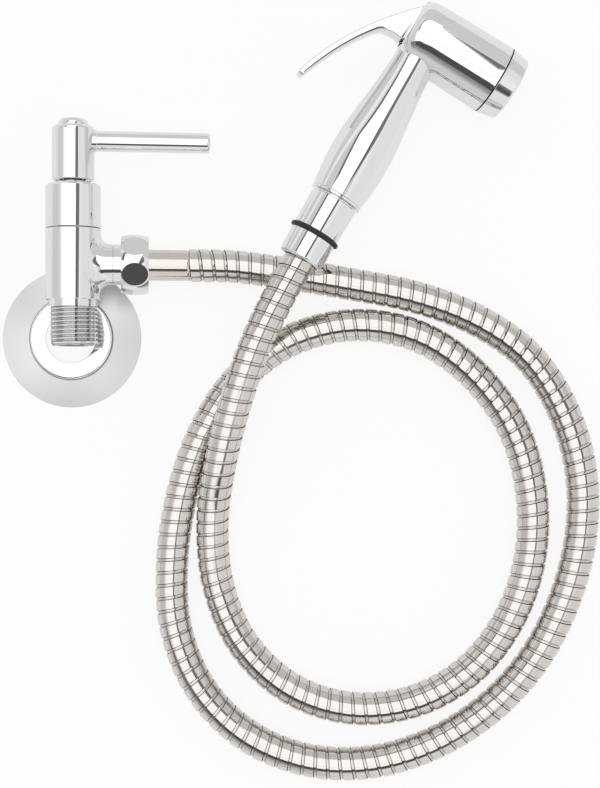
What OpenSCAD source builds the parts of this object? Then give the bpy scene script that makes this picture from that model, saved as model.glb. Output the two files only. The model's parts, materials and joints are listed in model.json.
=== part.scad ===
// Handheld bath sprayer: a quarter-turn wall valve, a ribbed metal hose and a trigger handset.
// Millimetres. The origin is on the inlet's axis, where its full thread starts. The inlet points
// along -Y, the lever hub along +Y and the outlet along +X. The sprayer lies on a table: the
// valve on its loose wall flange, the hose in one and three quarter turns on the table and
// the handset beyond it, held up by the hose at one end and by its spray head at the other.

/* [Valve body] */
// Diameter of the body and the bonnet
body_d = 23.3; // [22.8:0.1:26]
// Length of the body, from the inlet relief to the bonnet
body_l = 30.1; // [29:0.1:36]
// Major diameter of the half-inch pipe thread
pipe_d = 20.955; // [20.9:0.005:21.1]
// Length of the inlet thread
inlet_l = 16.5; // [12:0.5:22]
// Chamfer on the end of the inlet thread
inlet_chamfer = 1.8; // [0.5:0.1:2]
// Length of the relief between the inlet thread and the body
relief_l = 3; // [2:0.1:5]
// Diameter of the relief
relief_d = 20.6; // [19:0.1:20.8]
// Diameter of the water way in the inlet
inlet_bore = 13; // [10:0.5:13.5]
// Diameter of the cartridge's chamber
chamber_d = 17.2; // [17:0.1:18]
// Depth of the cartridge's seat below the bonnet
seat_depth = 22; // [21:0.1:23]
// Length of the bonnet
bonnet_l = 18.7; // [16:0.1:26]
// Wall of the bonnet
bonnet_wall = 1.3; // [1:0.1:1.6]
// Thickness of the bonnet's top
bonnet_top = 2.2; // [1.5:0.1:4]
// Bevel on the bonnet's upper rim
bonnet_bevel = 1; // [0.4:0.1:1.2]

/* [Cartridge] */
// Thickness of the gasket under the cartridge
gasket_t = 2; // [1:0.1:2.5]
// Diameter of the ceramic discs
disc_d = 14; // [13.6:0.1:14.2]
// Thickness of the fixed disc
fixed_disc_t = 3; // [2:0.1:3.5]
// Thickness of the moving disc
moving_disc_t = 2.6; // [2:0.1:3]
// Diameter of a water port in the discs
port_d = 4.2; // [3:0.1:4.6]
// Distance from the discs' centre to the middle of a port
port_r = 3.6; // [3.2:0.1:4]
// Diameter of the spindle
spindle_d = 8; // [7:0.1:8.6]
// Diameter of the neck that stands out of the bonnet
neck_d = 12.4; // [11.4:0.1:13]
// Height of the cartridge's hexagon
cartridge_hex_h = 4.4; // [3:0.1:6]
// Height of the threaded collar above the hexagon
cartridge_collar_h = 4.5; // [3:0.1:7]
// Width of an O-ring on the spindle
spindle_ring_w = 0.9; // [0.7:0.05:1]

/* [Lever] */
// Diameter of the lever's hub
hub_d = 17.9; // [17:0.1:20]
// Length of the hub
hub_l = 23.1; // [22:0.1:30]
// Space between the bonnet and the hub
hub_gap = 1.6; // [0.8:0.1:3]
// Radius on the hub's outer edge
hub_edge = 1.5; // [0.5:0.1:1.8]
// Diameter of the cap on the hub
cap_d = 12.8; // [11:0.1:13.6]
// Height of the cap above the hub
cap_h = 3.5; // [2.6:0.1:5]
// Diameter of the recess under the cap
recess_d = 7.8; // [7.4:0.1:8]
// Depth of the recess under the cap
recess_depth = 10; // [9.5:0.1:11]
// Diameter of the lever rod
rod_d = 8.6; // [7:0.1:9]
// Distance from the valve's axis to the end of the rod
rod_reach = 58; // [45:1:70]
// Distance of the rod's axis below the hub's outer face
rod_drop = 6.1; // [5.5:0.1:6.6]
// Diameter of the collar at the root of the rod
rod_collar_d = 9.4; // [9.2:0.1:9.6]
// Diameter of the rod's threaded spigot
spigot_d = 4.9; // [4:0.1:5.4]

/* [Valve outlet] */
// Diameter of the outlet's collar
outlet_d = 17.2; // [16:0.1:18]
// Diameter of the outlet's foot, inside the body
outlet_root_d = 21.2; // [20:0.1:21.6]
// Diameter of the water way in the outlet
outlet_bore = 11; // [8:0.1:12]
// Distance from the valve's axis to the hose nut
nut_x = 20.2; // [19:0.1:24]
// Width of the hose nut across its flats
nut_af = 24; // [23.4:0.1:26]
// Length of the hose nut
nut_l = 11.6; // [11.2:0.1:14]
// Height of the nut's barrel over its ends, which rounds its corners
nut_bulge = 1.1; // [0.8:0.1:1.6]
// Turn of the nut's corner away from straight up
nut_turn = 6.4; // [0:0.2:14]
// Thickness of the nut's end wall
nut_wall = 2.2; // [1.5:0.1:2.6]
// Thickness of the hose washers
washer_t = 1.8; // [1.5:0.1:2]

/* [Hose] */
// Outer diameter of the ribbed hose
hose_d = 14; // [13.4:0.1:14]
// Depth of the grooves between the ribs
hose_groove = 0.7; // [0.4:0.05:0.8]
// Diameter of the ribbed hose's bore
hose_bore = 9.8; // [9.4:0.1:9.8]
// Number of ribs, in fours
hose_ribs = 200; // [120:4:200]
// Diameter of the inner tube's bore
liner_bore = 7.4; // [6.8:0.1:7.6]
// Diameter of the water way through the hose's inserts
insert_bore = 5.2; // [4:0.1:5.4]
// Diameter of the ferrule at the valve
ferrule_d = 13.1; // [12.6:0.1:13.6]
// Distance from the valve's axis to the end of the ferrule
ferrule_x = 49; // [44:0.5:56]
// Diameter of the ferrule in the cone nut
swivel_d = 14.6; // [14.2:0.1:14.8]

/* [Handset] */
// Diameter of the handle at its lower end
handle_end_d = 22.4; // [21.6:0.1:24]
// Largest diameter of the handle
handle_d = 25.6; // [24:0.1:28]
// Diameter of the handle under the head
handle_neck_d = 18; // [17:0.1:19]
// Height of the handle's widest place
handle_belly = 20; // [16:1:26]
// Height of the head's axis above the handle's lower end
head_z = 77.9; // [75:0.1:90]
// Largest diameter of the head
head_d = 30.4; // [30:0.1:33]
// Distance from the handle's axis to the front of the head
head_front = 33; // [32:0.1:40]
// Distance from the handle's axis to the back of the head
head_back = 9.3; // [9:0.1:10]
// Diameter of the water way in the handle
handle_bore = 9; // [7:0.1:9.4]
// Tilt of the handset, head downwards
handset_tilt = 1.7; // [1.5:0.05:1.9]

/* [Handset inlet] */
// Major diameter of the three-eighths thread
inlet_thread_d = 16.66; // [16.5:0.01:16.8]
// Length of the connector's thread
connector_l = 11; // [9:0.1:11.5]
// Diameter of the connector's flange
connector_flange_d = 22.7; // [21.6:0.1:24]
// Height of the connector's flange
connector_flange_h = 1; // [0.6:0.1:1.6]
// Diameter of the connector's spigot in the handle
connector_spigot_d = 15.8; // [14:0.1:16]
// Distance of the cone nut's upper face below the handle
cone_top = 1.5; // [1:0.1:2]
// Length of the cone nut
cone_l = 28.8; // [27:0.1:30]
// Diameter of the cone nut's upper end
cone_d = 20.6; // [20.2:0.1:22]
// Diameter of the cone nut's mouth end
cone_end_d = 19.4; // [18.6:0.1:20]
// Distance of the rubber ring below the handle
ring_drop = 18; // [17:0.1:24]
// Thickness of the rubber ring
ring_w = 1.9; // [1.6:0.1:2]

/* [Spray head] */
// Length of the spray ring in front of the head
spray_l = 8.2; // [7.4:0.1:10]
// Diameter of the spray ring's front
spray_front_d = 27.8; // [26.8:0.1:29]
// Diameter of the thread between head and spray ring
spray_thread_d = 26; // [25.6:0.1:26.4]
// Diameter of the spray face
face_d = 22.8; // [22.4:0.1:23]
// Thickness of the spray face
face_t = 2.15; // [1.6:0.05:2.5]
// Diameter of a spray hole
jet_d = 1; // [0.6:0.1:1.2]
// Thickness of the washer between head and spray ring
rim_washer_t = 0.4; // [0.3:0.1:0.6]
// Diameter of the head's inlet chamber
inlet_chamber_d = 18; // [17:0.1:19]
// Diameter of the head's outlet chamber
outlet_chamber_d = 21.8; // [21.6:0.1:22]
// Diameter of the seat's opening
seat_bore = 9; // [7:0.1:9.6]

/* [Trigger] */
// Width of the trigger, which passes through the slot in the head
trigger_w = 10; // [8:0.1:10.4]
// Diameter of the trigger's pin
pin_d = 2.5; // [2:0.1:3]
// Diameter of the trigger's knuckle
knuckle_d = 6.2; // [5.6:0.1:6.4]
// Diameter of the plunger
plunger_d = 4.4; // [3.6:0.1:4.6]
// Travel of the plunger
plunger_travel = 1.55; // [1:0.05:1.6]
// Diameter of the rubber washer that closes the seat
poppet_d = 12.4; // [11.4:0.1:13]
// Outer diameter of the return spring
spring_d = 10; // [9:0.1:11]
// Thickness of the return spring's wire
spring_wire = 1; // [0.6:0.1:1.2]

/* [Wall flange] */
// Outer diameter of the flange
flange_d = 60; // [54:1:70]
// Height of the flange
flange_h = 4.2; // [3.4:0.1:8]
// Diameter of the flange's raised centre
flange_step_d = 35.5; // [30:0.5:40]
// Height of the sloping rim beside the raised centre
flange_rim_h = 2.6; // [1.8:0.1:3]
// Thickness of the flange's sheet
flange_t = 0.8; // [0.6:0.1:1.2]
// Diameter of the hole in the flange
flange_hole_d = 21.5; // [21.4:0.1:24]
// Place of the valve's inlet end over the flange, from the flange's centre
flange_offset = [2.8, -3.8]; // [-10:0.1:10]

/* [Hidden] */
$fn = 96;

// Clearances: threads and seats, turning fits, loose inner pieces, pieces that swing past
seat_gap = 0.05;
turn_gap = 0.05;
loose_gap = 0.1;
swing_gap = 0.3;
// Overrun of a cut past the face that it opens
over = 1;

// Stations along the valve's axis, from the crossing with the outlet's axis
body_lo = -body_l / 2;
body_hi = body_l / 2;
thread_hi = body_lo - relief_l;
inlet_end = thread_hi - inlet_l;
bonnet_lo = body_hi + seat_gap;
bonnet_hi = bonnet_lo + bonnet_l;
hub_lo = bonnet_hi + hub_gap;
hub_hi = hub_lo + hub_l;
rod_a = hub_hi - rod_drop;
seat_a = body_hi - seat_depth;
fixed_lo = seat_a + gasket_t;
moving_lo = fixed_lo + fixed_disc_t;
moving_hi = moving_lo + moving_disc_t;
drive_h = 2.2;
drive_lo = moving_hi + 0.4;
drive_hi = drive_lo + drive_h;
cavity_hi = drive_hi + swing_gap;
cavity_d = disc_d + 0.5;
collar_lo = bonnet_lo + cartridge_hex_h;
collar_hi = collar_lo + cartridge_collar_h;
neck_hi = hub_lo - 0.4;
bonnet_bore = body_d - 2 * bonnet_wall;
web_hi = hub_hi - recess_depth;
web_lo = web_hi - 1.6;
hub_recess = 1.6;
spindle_hi = web_lo - 0.2;
screw_lo = web_hi - 8;
screw_d = 3.3;
drive_slot_w = 3.1;
drive_slot_l = 9.6;
drive_slot_depth = 0.55;
rod_seat_x = hub_d / 2 - 0.95;

// Stations along the outlet's axis, from the valve's axis
nut_hi = nut_x + nut_l;
nut_floor = nut_hi - nut_wall;
nut_corner_r = nut_af / sqrt(3);
nut_end_r = nut_af / 2 - 0.1;
nut_mid_x = nut_x + nut_l / 2;
nut_round = (pow(nut_l / 2, 2) + pow(nut_bulge, 2)) / (2 * nut_bulge);
nut_sweep = asin(nut_l / 2 / nut_round);
nut_centre_r = nut_end_r + nut_bulge - nut_round;
insert_flange_t = 1.15;
valve_insert_x = nut_floor - seat_gap - insert_flange_t;
nipple_hi = valve_insert_x - 2 * seat_gap - washer_t;
outlet_collar_x = nut_x - 3.7;

// The valve lies on the flange and rolls until a corner of the hose nut meets the table
axis_h = flange_h + body_d / 2 + 0.1;
nut_low_r = nut_centre_r * cos(nut_turn);
droop = asin((axis_h - nut_round * cos(nut_turn)) / norm([nut_mid_x, nut_low_r]))
    - atan2(nut_low_r, nut_mid_x);
table = [-flange_offset[0], -flange_offset[1] - inlet_chamfer, -axis_h];
valve_o = [0, -inlet_end - inlet_chamfer, 0];

// The handset: the centre of the handle's lower end over the flange's centre, and its turns
handset_seam = [114.1, 58.3, 21.7];
handset_turn = -30;
head_drop = handset_seam[2] - head_z * sin(handset_tilt);
roll = asin(head_drop / norm([head_front, head_d / 2])) - atan2(head_d / 2, head_front);

// Stations down from the handle's lower end
connector_step = 0.6;
cone_hi = cone_top + cone_l;
cone_washer_d0 = connector_l + seat_gap;
handset_insert_d0 = cone_washer_d0 + washer_t + seat_gap;
swivel_flange_t = 1.65;
cone_shoulder = handset_insert_d0 + swivel_flange_t + seat_gap;
cone_thread_d = inlet_thread_d + 2 * loose_gap;
cone_bore = swivel_d + 4 * loose_gap;
ring_seat_d = cone_d - 2.2;
connector_spigot_l = 9;

// The hose: its sides, ribs between two rings of its bore, curve steps between route points
hose_sides = 8;
bore_step = 4;
curve_steps = 10;
liner_d = hose_bore - 4 * loose_gap;
barb_d = liner_bore * cos(180 / hose_sides) - 2 * seat_gap;
ferrule_foot = 1.5;
valve_ferrule_x0 = valve_insert_x + insert_flange_t;
valve_ferrule_l = ferrule_x - valve_ferrule_x0;
swivel_x0 = handset_insert_d0 + swivel_flange_t;
swivel_end = 24;
swivel_l = swivel_end - swivel_x0;

// Stations along the head's axis, from the handle's axis
slot_x = -5;
gland_hi = 1.5;
seat_x = 16;
seat_lip_x = seat_x + 1.6;
seal_x = seat_lip_x + seat_gap;
seal_t = 1.95;
holder_x = seal_x + seal_t;
holder_t = 2;
spring_x = holder_x + holder_t + seat_gap;
shoulder_x = 29.4;
carrier_x = shoulder_x + seat_gap;
carrier_t = 1.75;
ring_x = head_front + rim_washer_t;
ring_front = ring_x + spray_l;
lip_t = 1.9;
ring_edge = 1.2;
face_x = ring_front - lip_t - seat_gap - face_t;
face_gasket_t = 1.1;
face_gasket_x = face_x - seat_gap - face_gasket_t;
ring_bore = face_d + 2 * loose_gap;
stem_thread_d = 3.2;
plunger_tip_x = -7.6;
plunger_tip_r = 2.5;
stem_end_x = spring_x + 2.9;
gland_d = 8.7;
gland_ring_x = -1.2;
gland_ring_w = 0.9;
passage_d = 6.4;
passage_x = passage_d / 2 + 0.4;

// The trigger's pivot and the slot for it, in the plane of handle and head
pivot = [-4, head_z + 8.9];
pusher_x = plunger_tip_x - swing_gap;
slot_top = head_z + 12.4;
slot_bottom = head_z - 9.3;
pin_lo = -8.4;
pin_hi = 10.1;

function bezier(p, n) = [for (i = [0:n]) let (t = i / n, s = 1 - t)
    s * s * s * p[0] + 3 * s * s * t * p[1] + 3 * s * t * t * p[2] + t * t * t * p[3]];
function arc(c, r, a0, a1, n) = [for (i = [0:n]) let (a = a0 + (a1 - a0) * i / n)
    c + r * [cos(a), sin(a)]];
function reversed(p) = [for (i = [len(p) - 1:-1:0]) p[i]];
function unit(v) = v / norm(v);

module at_table() translate(table) children();
module at_valve() translate(valve_o) rotate([0, droop, 0]) children();
module along_valve() at_valve() rotate([-90, 0, 0]) children();
module along_outlet() at_valve() rotate([0, 90, 0]) children();
module at_handset() at_table() translate(handset_seam) rotate([0, 0, handset_turn])
    rotate([-90 - handset_tilt, 0, 0]) rotate([0, 0, roll]) children();
module below_handle() at_handset() rotate([180, 0, 0]) children();
module along_head() at_handset() translate([0, 0, head_z]) rotate([0, 90, 0]) children();

// A round bar, or a ring with a bore, from lo to hi along Z
module bar(d, lo, hi) translate([0, 0, lo]) cylinder(d = d, h = hi - lo);
module ring(d, bore, lo, hi) difference() {
    bar(d, lo, hi);
    bar(bore, lo - over, hi + over);
}
module o_ring(inner_d, w) rotate_extrude() translate([inner_d / 2 + w / 2, 0]) circle(d = w, $fn = 32);

// ---------------------------------------------------------------- wall flange
module wall_flange() color("gainsboro") at_table() rotate_extrude() polygon([
    [flange_d / 2, 0], [flange_d / 2, flange_t + 0.1],
    [flange_step_d / 2, flange_rim_h], [flange_step_d / 2, flange_h],
    [flange_hole_d / 2, flange_h], [flange_hole_d / 2, flange_h - flange_t],
    [flange_step_d / 2 - flange_t, flange_h - flange_t],
    [flange_step_d / 2 - flange_t, flange_rim_h - flange_t], [flange_d / 2 - flange_t, 0]]);

// ---------------------------------------------------------------- valve
module body_outside() {
    rotate([-90, 0, 0]) rotate_extrude() polygon([
        [0, inlet_end], [pipe_d / 2 - inlet_chamfer, inlet_end],
        [pipe_d / 2, inlet_end + inlet_chamfer], [pipe_d / 2, thread_hi],
        [relief_d / 2, thread_hi], [relief_d / 2, body_lo], [body_d / 2, body_lo],
        [body_d / 2, body_hi], [0, body_hi]]);
    rotate([0, 90, 0]) rotate_extrude() polygon(concat(
        [[0, 0], [outlet_root_d / 2, 0]],
        bezier([[outlet_root_d / 2, 7], [outlet_root_d / 2 - 1.1, 9.5],
                [outlet_d / 2, outlet_collar_x - 4], [outlet_d / 2, outlet_collar_x]], 8),
        [[outlet_d / 2, nut_x + 0.3], [pipe_d / 2, nut_x + 0.3], [pipe_d / 2, nipple_hi],
         [0, nipple_hi]]));
}
module valve_body() color("silver") difference() {
    at_valve() body_outside();
    along_valve() bar(inlet_bore, inlet_end - over, seat_a + over);
    along_valve() bar(chamber_d, seat_a, body_hi + over);
    along_outlet() bar(outlet_bore, 0, nipple_hi + over);
}
module bonnet() color("silver") along_valve() rotate_extrude() polygon([
    [bonnet_bore / 2, bonnet_lo], [body_d / 2, bonnet_lo],
    [body_d / 2, bonnet_hi - bonnet_bevel], [body_d / 2 - bonnet_bevel, bonnet_hi],
    [neck_d / 2 + 0.15, bonnet_hi], [neck_d / 2 + 0.15, bonnet_hi - bonnet_top],
    [bonnet_bore / 2, bonnet_hi - bonnet_top]]);
module seat_gasket() color("#222222") along_valve()
    ring(chamber_d - 4 * loose_gap, inlet_bore - 4 * loose_gap, seat_a, fixed_lo);
module cartridge_body() color("goldenrod") difference() {
    along_valve() {
        bar(chamber_d - 2 * loose_gap, fixed_lo, bonnet_lo + seat_gap);
        translate([0, 0, bonnet_lo])
            cylinder(d = bonnet_bore - 2 * loose_gap, h = cartridge_hex_h, $fn = 6);
        bar(bonnet_bore - 2 * seat_gap, collar_lo, collar_hi);
        bar(neck_d, collar_hi - over, neck_hi);
    }
    along_valve() bar(cavity_d, fixed_lo - over, cavity_hi);
    along_valve() bar(spindle_d + 2 * turn_gap, cavity_hi - over, neck_hi + over);
    at_valve() translate([0, moving_lo + moving_disc_t / 2, 0])
        cube([2 * chamber_d, moving_disc_t, 8], center = true);
}
module fixed_disc() color("white") along_valve() difference() {
    bar(disc_d, fixed_lo, moving_lo);
    for (side = [-1, 1]) translate([side * port_r, 0, 0]) bar(port_d, fixed_lo - over, moving_lo + over);
}
module moving_disc() color("white") along_valve() difference() {
    bar(disc_d - 2 * loose_gap, moving_lo + turn_gap / 2, moving_hi);
    for (side = [-1, 1]) translate([0, side * (port_r + disc_d / 2 - port_d / 2), moving_lo])
        cube([port_d, disc_d, 4 * moving_disc_t], center = true);
    translate([0, 0, moving_hi]) cube([drive_slot_l, drive_slot_w, 2 * drive_slot_depth], center = true);
}
module valve_spindle() color("goldenrod") along_valve() difference() {
    union() {
        bar(cavity_d - 4 * swing_gap, drive_lo, drive_hi);
        bar(spindle_d, drive_hi - over, spindle_hi);
        translate([0, 0, moving_hi + 0.1]) cube([drive_slot_l - 0.4, drive_slot_w - 0.2,
                                                 2 * drive_slot_depth], center = true);
    }
    for (k = [0:1]) translate([0, 0, spindle_ring_a(k) - spindle_ring_w * 0.6])
        ring(spindle_d + over, spindle_d - 2 * spindle_ring_w - 0.2, 0, spindle_ring_w * 1.2);
    bar(screw_d + 2 * seat_gap, screw_lo - over, spindle_hi + over);
}
function spindle_ring_a(k) = cavity_hi + 4 + 4 * k;
module spindle_o_rings() color("#222222") for (k = [0:1])
    along_valve() translate([0, 0, spindle_ring_a(k)])
        o_ring(spindle_d - 2 * spindle_ring_w - 0.06, spindle_ring_w);

// ---------------------------------------------------------------- lever
module lever_hub() color("silver") difference() {
    along_valve() rotate_extrude() polygon(concat(
        [[0, hub_lo], [hub_d / 2 - 0.4, hub_lo], [hub_d / 2, hub_lo + 0.4]],
        arc([hub_d / 2 - hub_edge, hub_hi - hub_edge], hub_edge, 0, 90, 6), [[0, hub_hi]]));
    along_valve() bar(hub_d - 3.2, hub_lo - over, hub_lo + hub_recess);
    along_valve() bar(spindle_d + 2 * seat_gap, hub_lo - over, web_lo);
    along_valve() bar(screw_d + 0.3, web_lo - over, web_hi + over);
    along_valve() bar(recess_d, web_hi, hub_hi + over);
    at_valve() translate([0, rod_a, 0]) rotate([0, 90, 0]) {
        bar(spigot_d + 2 * seat_gap, recess_d / 2 + 0.8, hub_d);
        bar(rod_collar_d + 2 * seat_gap, rod_seat_x, hub_d);
    }
}
module hub_screw() color("dimgray") along_valve() difference() {
    union() {
        bar(screw_d, screw_lo, web_hi + over);
        bar(recess_d - 0.8, web_hi, web_hi + 2.6);
    }
    translate([0, 0, web_hi + 1]) cylinder(d = 3.4, h = 3, $fn = 6);
}
module hub_cap() color("silver") along_valve() {
    bar(recess_d - 2 * seat_gap, hub_hi - 4, hub_hi + 0.1);
    rotate_extrude() polygon(concat([[0, hub_hi], [cap_d / 2, hub_hi]],
        arc([cap_d / 2 - 2.4, hub_hi + cap_h - 2.6], 2.4, 0, 70, 6), [[0, hub_hi + cap_h]]));
}
module lever_rod() color("silver") at_valve() translate([0, rod_a, 0]) rotate([0, 90, 0])
    rotate_extrude() polygon(concat(
        [[0, recess_d / 2 + 1], [spigot_d / 2, recess_d / 2 + 1], [spigot_d / 2, rod_seat_x],
         [rod_collar_d / 2, rod_seat_x], [rod_collar_d / 2, rod_seat_x + 2],
         [rod_d / 2, rod_seat_x + 2.2]],
        arc([rod_d / 2 - 1.2, rod_reach - 1.2], 1.2, 0, 90, 6), [[0, rod_reach]]));

// ---------------------------------------------------------------- hose fittings
module hose_nut() color("silver") along_outlet() difference() {
    intersection() {
        rotate([0, 0, -nut_turn]) translate([0, 0, nut_x])
            cylinder(r = nut_corner_r, h = nut_l, $fn = 6);
        rotate_extrude() polygon(concat([[0, nut_x]],
            arc([nut_centre_r, nut_mid_x], nut_round, -nut_sweep, nut_sweep, 12), [[0, nut_hi]]));
    }
    bar(pipe_d + 2 * seat_gap, nut_x - over, nut_floor);
    bar(ferrule_d + 4 * loose_gap, nut_floor - over, nut_hi + over);
}
module nut_washer() color("#222222") along_outlet()
    ring(pipe_d - 6 * loose_gap, outlet_bore - 1, nipple_hi + seat_gap, nipple_hi + seat_gap + washer_t);

// A hose's barbed insert: its flange from z = 0, its barb above it
module insert(flange, flange_t, barb_hi) difference() {
    union() {
        bar(flange, 0, flange_t);
        bar(barb_d, flange_t - 0.5, barb_hi);
    }
    bar(insert_bore, -over, barb_hi + over);
}
// A ferrule round the hose's end: a solid foot round the barb, then a sleeve round the inner tube
module ferrule(d, l) difference() {
    bar(d, 0, l);
    bar(barb_d + 2 * seat_gap, -over, ferrule_foot + over);
    bar(liner_d + 2 * loose_gap, ferrule_foot, l + over);
}
module valve_insert() color("goldenrod") along_outlet() translate([0, 0, valve_insert_x])
    insert(pipe_d - 18 * loose_gap, insert_flange_t, insert_flange_t + valve_ferrule_l - 2);
module valve_ferrule() color("tan") along_outlet() translate([0, 0, valve_ferrule_x0])
    ferrule(ferrule_d, valve_ferrule_l);
module handset_insert() color("goldenrod") below_handle() translate([0, 0, handset_insert_d0])
    insert(inlet_thread_d - 2 * loose_gap, swivel_flange_t, swivel_flange_t + swivel_l - 1);
module handset_ferrule() color("tan") below_handle() translate([0, 0, swivel_x0])
    ferrule(swivel_d, swivel_l);

// ---------------------------------------------------------------- hose
// The route's points between the two straight ends, from the flange's centre on the table.
// The hose leaves the valve, runs round to the right, makes a wide turn and a narrower one
// inside it, climbs over itself and passes over its own first stretch to the handset.
hose_route = [
    [93.5, 27.5, 7.5], [121, 23, 7], [148.5, 17.5, 7], [175, 7.5, 7], [197.5, -8.5, 7],
    [212.5, -32, 7], [220, -59, 7], [219.5, -87, 7], [212, -114.5, 7], [199, -139, 7],
    [180, -159.5, 7], [156, -174.5, 7], [129, -182.5, 7], [101.5, -181.5, 7],
    [75.5, -170.5, 7], [56, -150.5, 7], [45.5, -124.5, 7], [44, -96.5, 7], [48, -68.5, 7],
    [57, -42, 7], [72, -18.5, 7], [94, -1.5, 7], [121.5, 5.5, 7], [149, 1, 7],
    [172, -14, 7], [189.5, -36.5, 7], [198, -63, 7], [198.5, -91, 7], [190.5, -118, 7],
    [174, -141, 7], [150.5, -155.5, 7], [122.5, -159.5, 7], [96, -151.5, 7],
    [75.5, -133, 7], [64, -107.5, 7], [61.5, -79, 9.5], [65.5, -52, 15.6],
    [72.5, -25.5, 20.8], [82, 0.5, 22.7]];
// Length of the straight ends, and the route's usual step, which sets how it leaves them
straight_l = hose_d;
route_step = 27;

valve_dir = [cos(droop), 0, -sin(droop)];
handset_dir = [cos(handset_tilt) * sin(-handset_turn), cos(handset_tilt) * cos(handset_turn),
               -sin(handset_tilt)];
hose_start = valve_o + ferrule_x * valve_dir;
hose_end = table + handset_seam - swivel_end * handset_dir;
knots = concat([hose_start + straight_l * valve_dir], [for (p = hose_route) table + p],
               [hose_end - straight_l * handset_dir]);
guides = concat([knots[1] - 2 * route_step * valve_dir], knots,
                [knots[len(knots) - 2] + 2 * route_step * handset_dir]);

function on_table(p) = [p[0], p[1], max(p[2], table[2] + hose_d / 2)];
function catmull(a, b, c, d, t) = (2 * b + (c - a) * t + (2 * a - 5 * b + 4 * c - d) * t * t
    + (3 * b - a - 3 * c + d) * t * t * t) / 2;
curve = concat([hose_start], [for (i = [0:len(knots) - 2], k = [0:curve_steps - 1])
    on_table(catmull(guides[i], guides[i + 1], guides[i + 2], guides[i + 3], k / curve_steps))],
    [knots[len(knots) - 1], hose_end]);
function lengths(p, i = 1, so_far = [0]) = i == len(p) ? so_far :
    lengths(p, i + 1, concat(so_far, [so_far[i - 1] + norm(p[i] - p[i - 1])]));
reach = lengths(curve);
hose_l = reach[len(reach) - 1];
tables = [for (axis = [0:2]) [for (i = [0:len(curve) - 1]) [reach[i], curve[i][axis]]]];
function place(s) = s < 0 ? hose_start + s * valve_dir :
    s > hose_l ? hose_end + (s - hose_l) * handset_dir : [for (t = tables) lookup(s, t)];
function heading(s) = s < straight_l ? valve_dir : s > hose_l - straight_l ? handset_dir :
    unit(place(s + 2) - place(s - 2));
// A ring of the hose's corners at s, one corner straight below
function hoop(s, r) = let (c = place(s), t = heading(s), side = unit(cross(t, [0, 0, 1])),
    up = cross(side, t)) [for (k = [0:hose_sides - 1]) let (a = 360 * k / hose_sides)
    c + r * (sin(a) * side - cos(a) * up)];
// A closed tube: outer rings in order, then bore rings in order, joined at both ends
module swept(outer, inner) {
    n = hose_sides;
    a = len(outer);
    b = len(inner);
    outside = [for (i = [0:a - 2], k = [0:n - 1]) let (p = i * n + k, q = i * n + (k + 1) % n)
        each [[p, q, q + n], [p, q + n, p + n]]];
    inside = [for (i = [0:b - 2], k = [0:n - 1])
        let (p = (a + i) * n + k, q = (a + i) * n + (k + 1) % n) each [[p, q + n, q], [p, p + n, q + n]]];
    ends = [for (k = [0:n - 1]) let (m = (k + 1) % n, p = a * n, e = (a - 1) * n, f = (a + b - 1) * n)
        each [[k, p + k, p + m], [k, p + m, m], [e + k, e + m, f + m], [e + k, f + m, f + k]]];
    polyhedron([each each outer, each each inner], [each outside, each inside, each ends]);
}
rib_pitch = hose_l / hose_ribs;
bore_stations = [for (i = [0:hose_ribs / bore_step]) i * bore_step * rib_pitch];
module metal_hose() color("rosybrown") swept(
    concat([hoop(0, hose_d / 2 - hose_groove)],
        [for (i = [0:hose_ribs - 1]) each [hoop((i + 0.35) * rib_pitch, hose_d / 2),
            hoop((i + (i == hose_ribs - 1 ? 1 : 0.85)) * rib_pitch, hose_d / 2 - hose_groove)]]),
    [for (s = bore_stations) hoop(s, hose_bore / 2)]);
liner_start = -(valve_ferrule_l - ferrule_foot - seat_gap);
liner_end = hose_l + swivel_l - ferrule_foot - seat_gap;
liner_stations = concat([liner_start], bore_stations, [liner_end]);
module hose_liner() color("#e8e8e0") swept([for (s = liner_stations) hoop(s, liner_d / 2)],
    [for (s = liner_stations) hoop(s, liner_bore / 2)]);

// The hose's least gap to itself, measured between rings that lie four diameters apart along it
gap_stations = [for (i = [0:2:2 * hose_ribs]) i * rib_pitch / 2];
hose_gap = min([for (i = [0:len(gap_stations) - 1]) let (p = place(gap_stations[i]))
    min([for (j = [0:len(gap_stations) - 1])
        abs(gap_stations[j] - gap_stations[i]) < 4 * hose_d ? 1000 : norm(place(gap_stations[j]) - p)])])
    - hose_d;
echo(hose_length = hose_l, rib_pitch = rib_pitch, hose_least_gap = hose_gap);

// ---------------------------------------------------------------- handset inlet
module cone_nut() color("silver") below_handle() difference() {
    rotate_extrude() polygon(concat(
        [[0, cone_top], [cone_d / 2 - 0.4, cone_top], [cone_d / 2, cone_top + 0.4]],
        arc([cone_end_d / 2 - 1.1, cone_hi - 1.1], 1.1, 0, 90, 5), [[0, cone_hi]]));
    bar(cone_thread_d, cone_top - over, cone_shoulder);
    bar(cone_bore, cone_shoulder - over, cone_hi + over);
    translate([0, 0, ring_drop]) ring(cone_d + over, ring_seat_d, -ring_w / 2 - seat_gap, ring_w / 2 + seat_gap);
}
module cone_ring() color("#1c1c1c") below_handle() translate([0, 0, ring_drop])
    o_ring(ring_seat_d + 2 * seat_gap, ring_w);
module cone_washer() color("#222222") below_handle()
    ring(inlet_thread_d - 4 * loose_gap, handle_bore - 1, cone_washer_d0, cone_washer_d0 + washer_t);
module inlet_connector() color("silver") below_handle() difference() {
    union() {
        bar(inlet_thread_d, 0, connector_l);
        bar(connector_flange_d, connector_step - connector_flange_h, connector_step);
        bar(connector_spigot_d, -connector_spigot_l, 0.1);
    }
    bar(handle_bore, -connector_spigot_l - over, connector_l + over);
}

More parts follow.
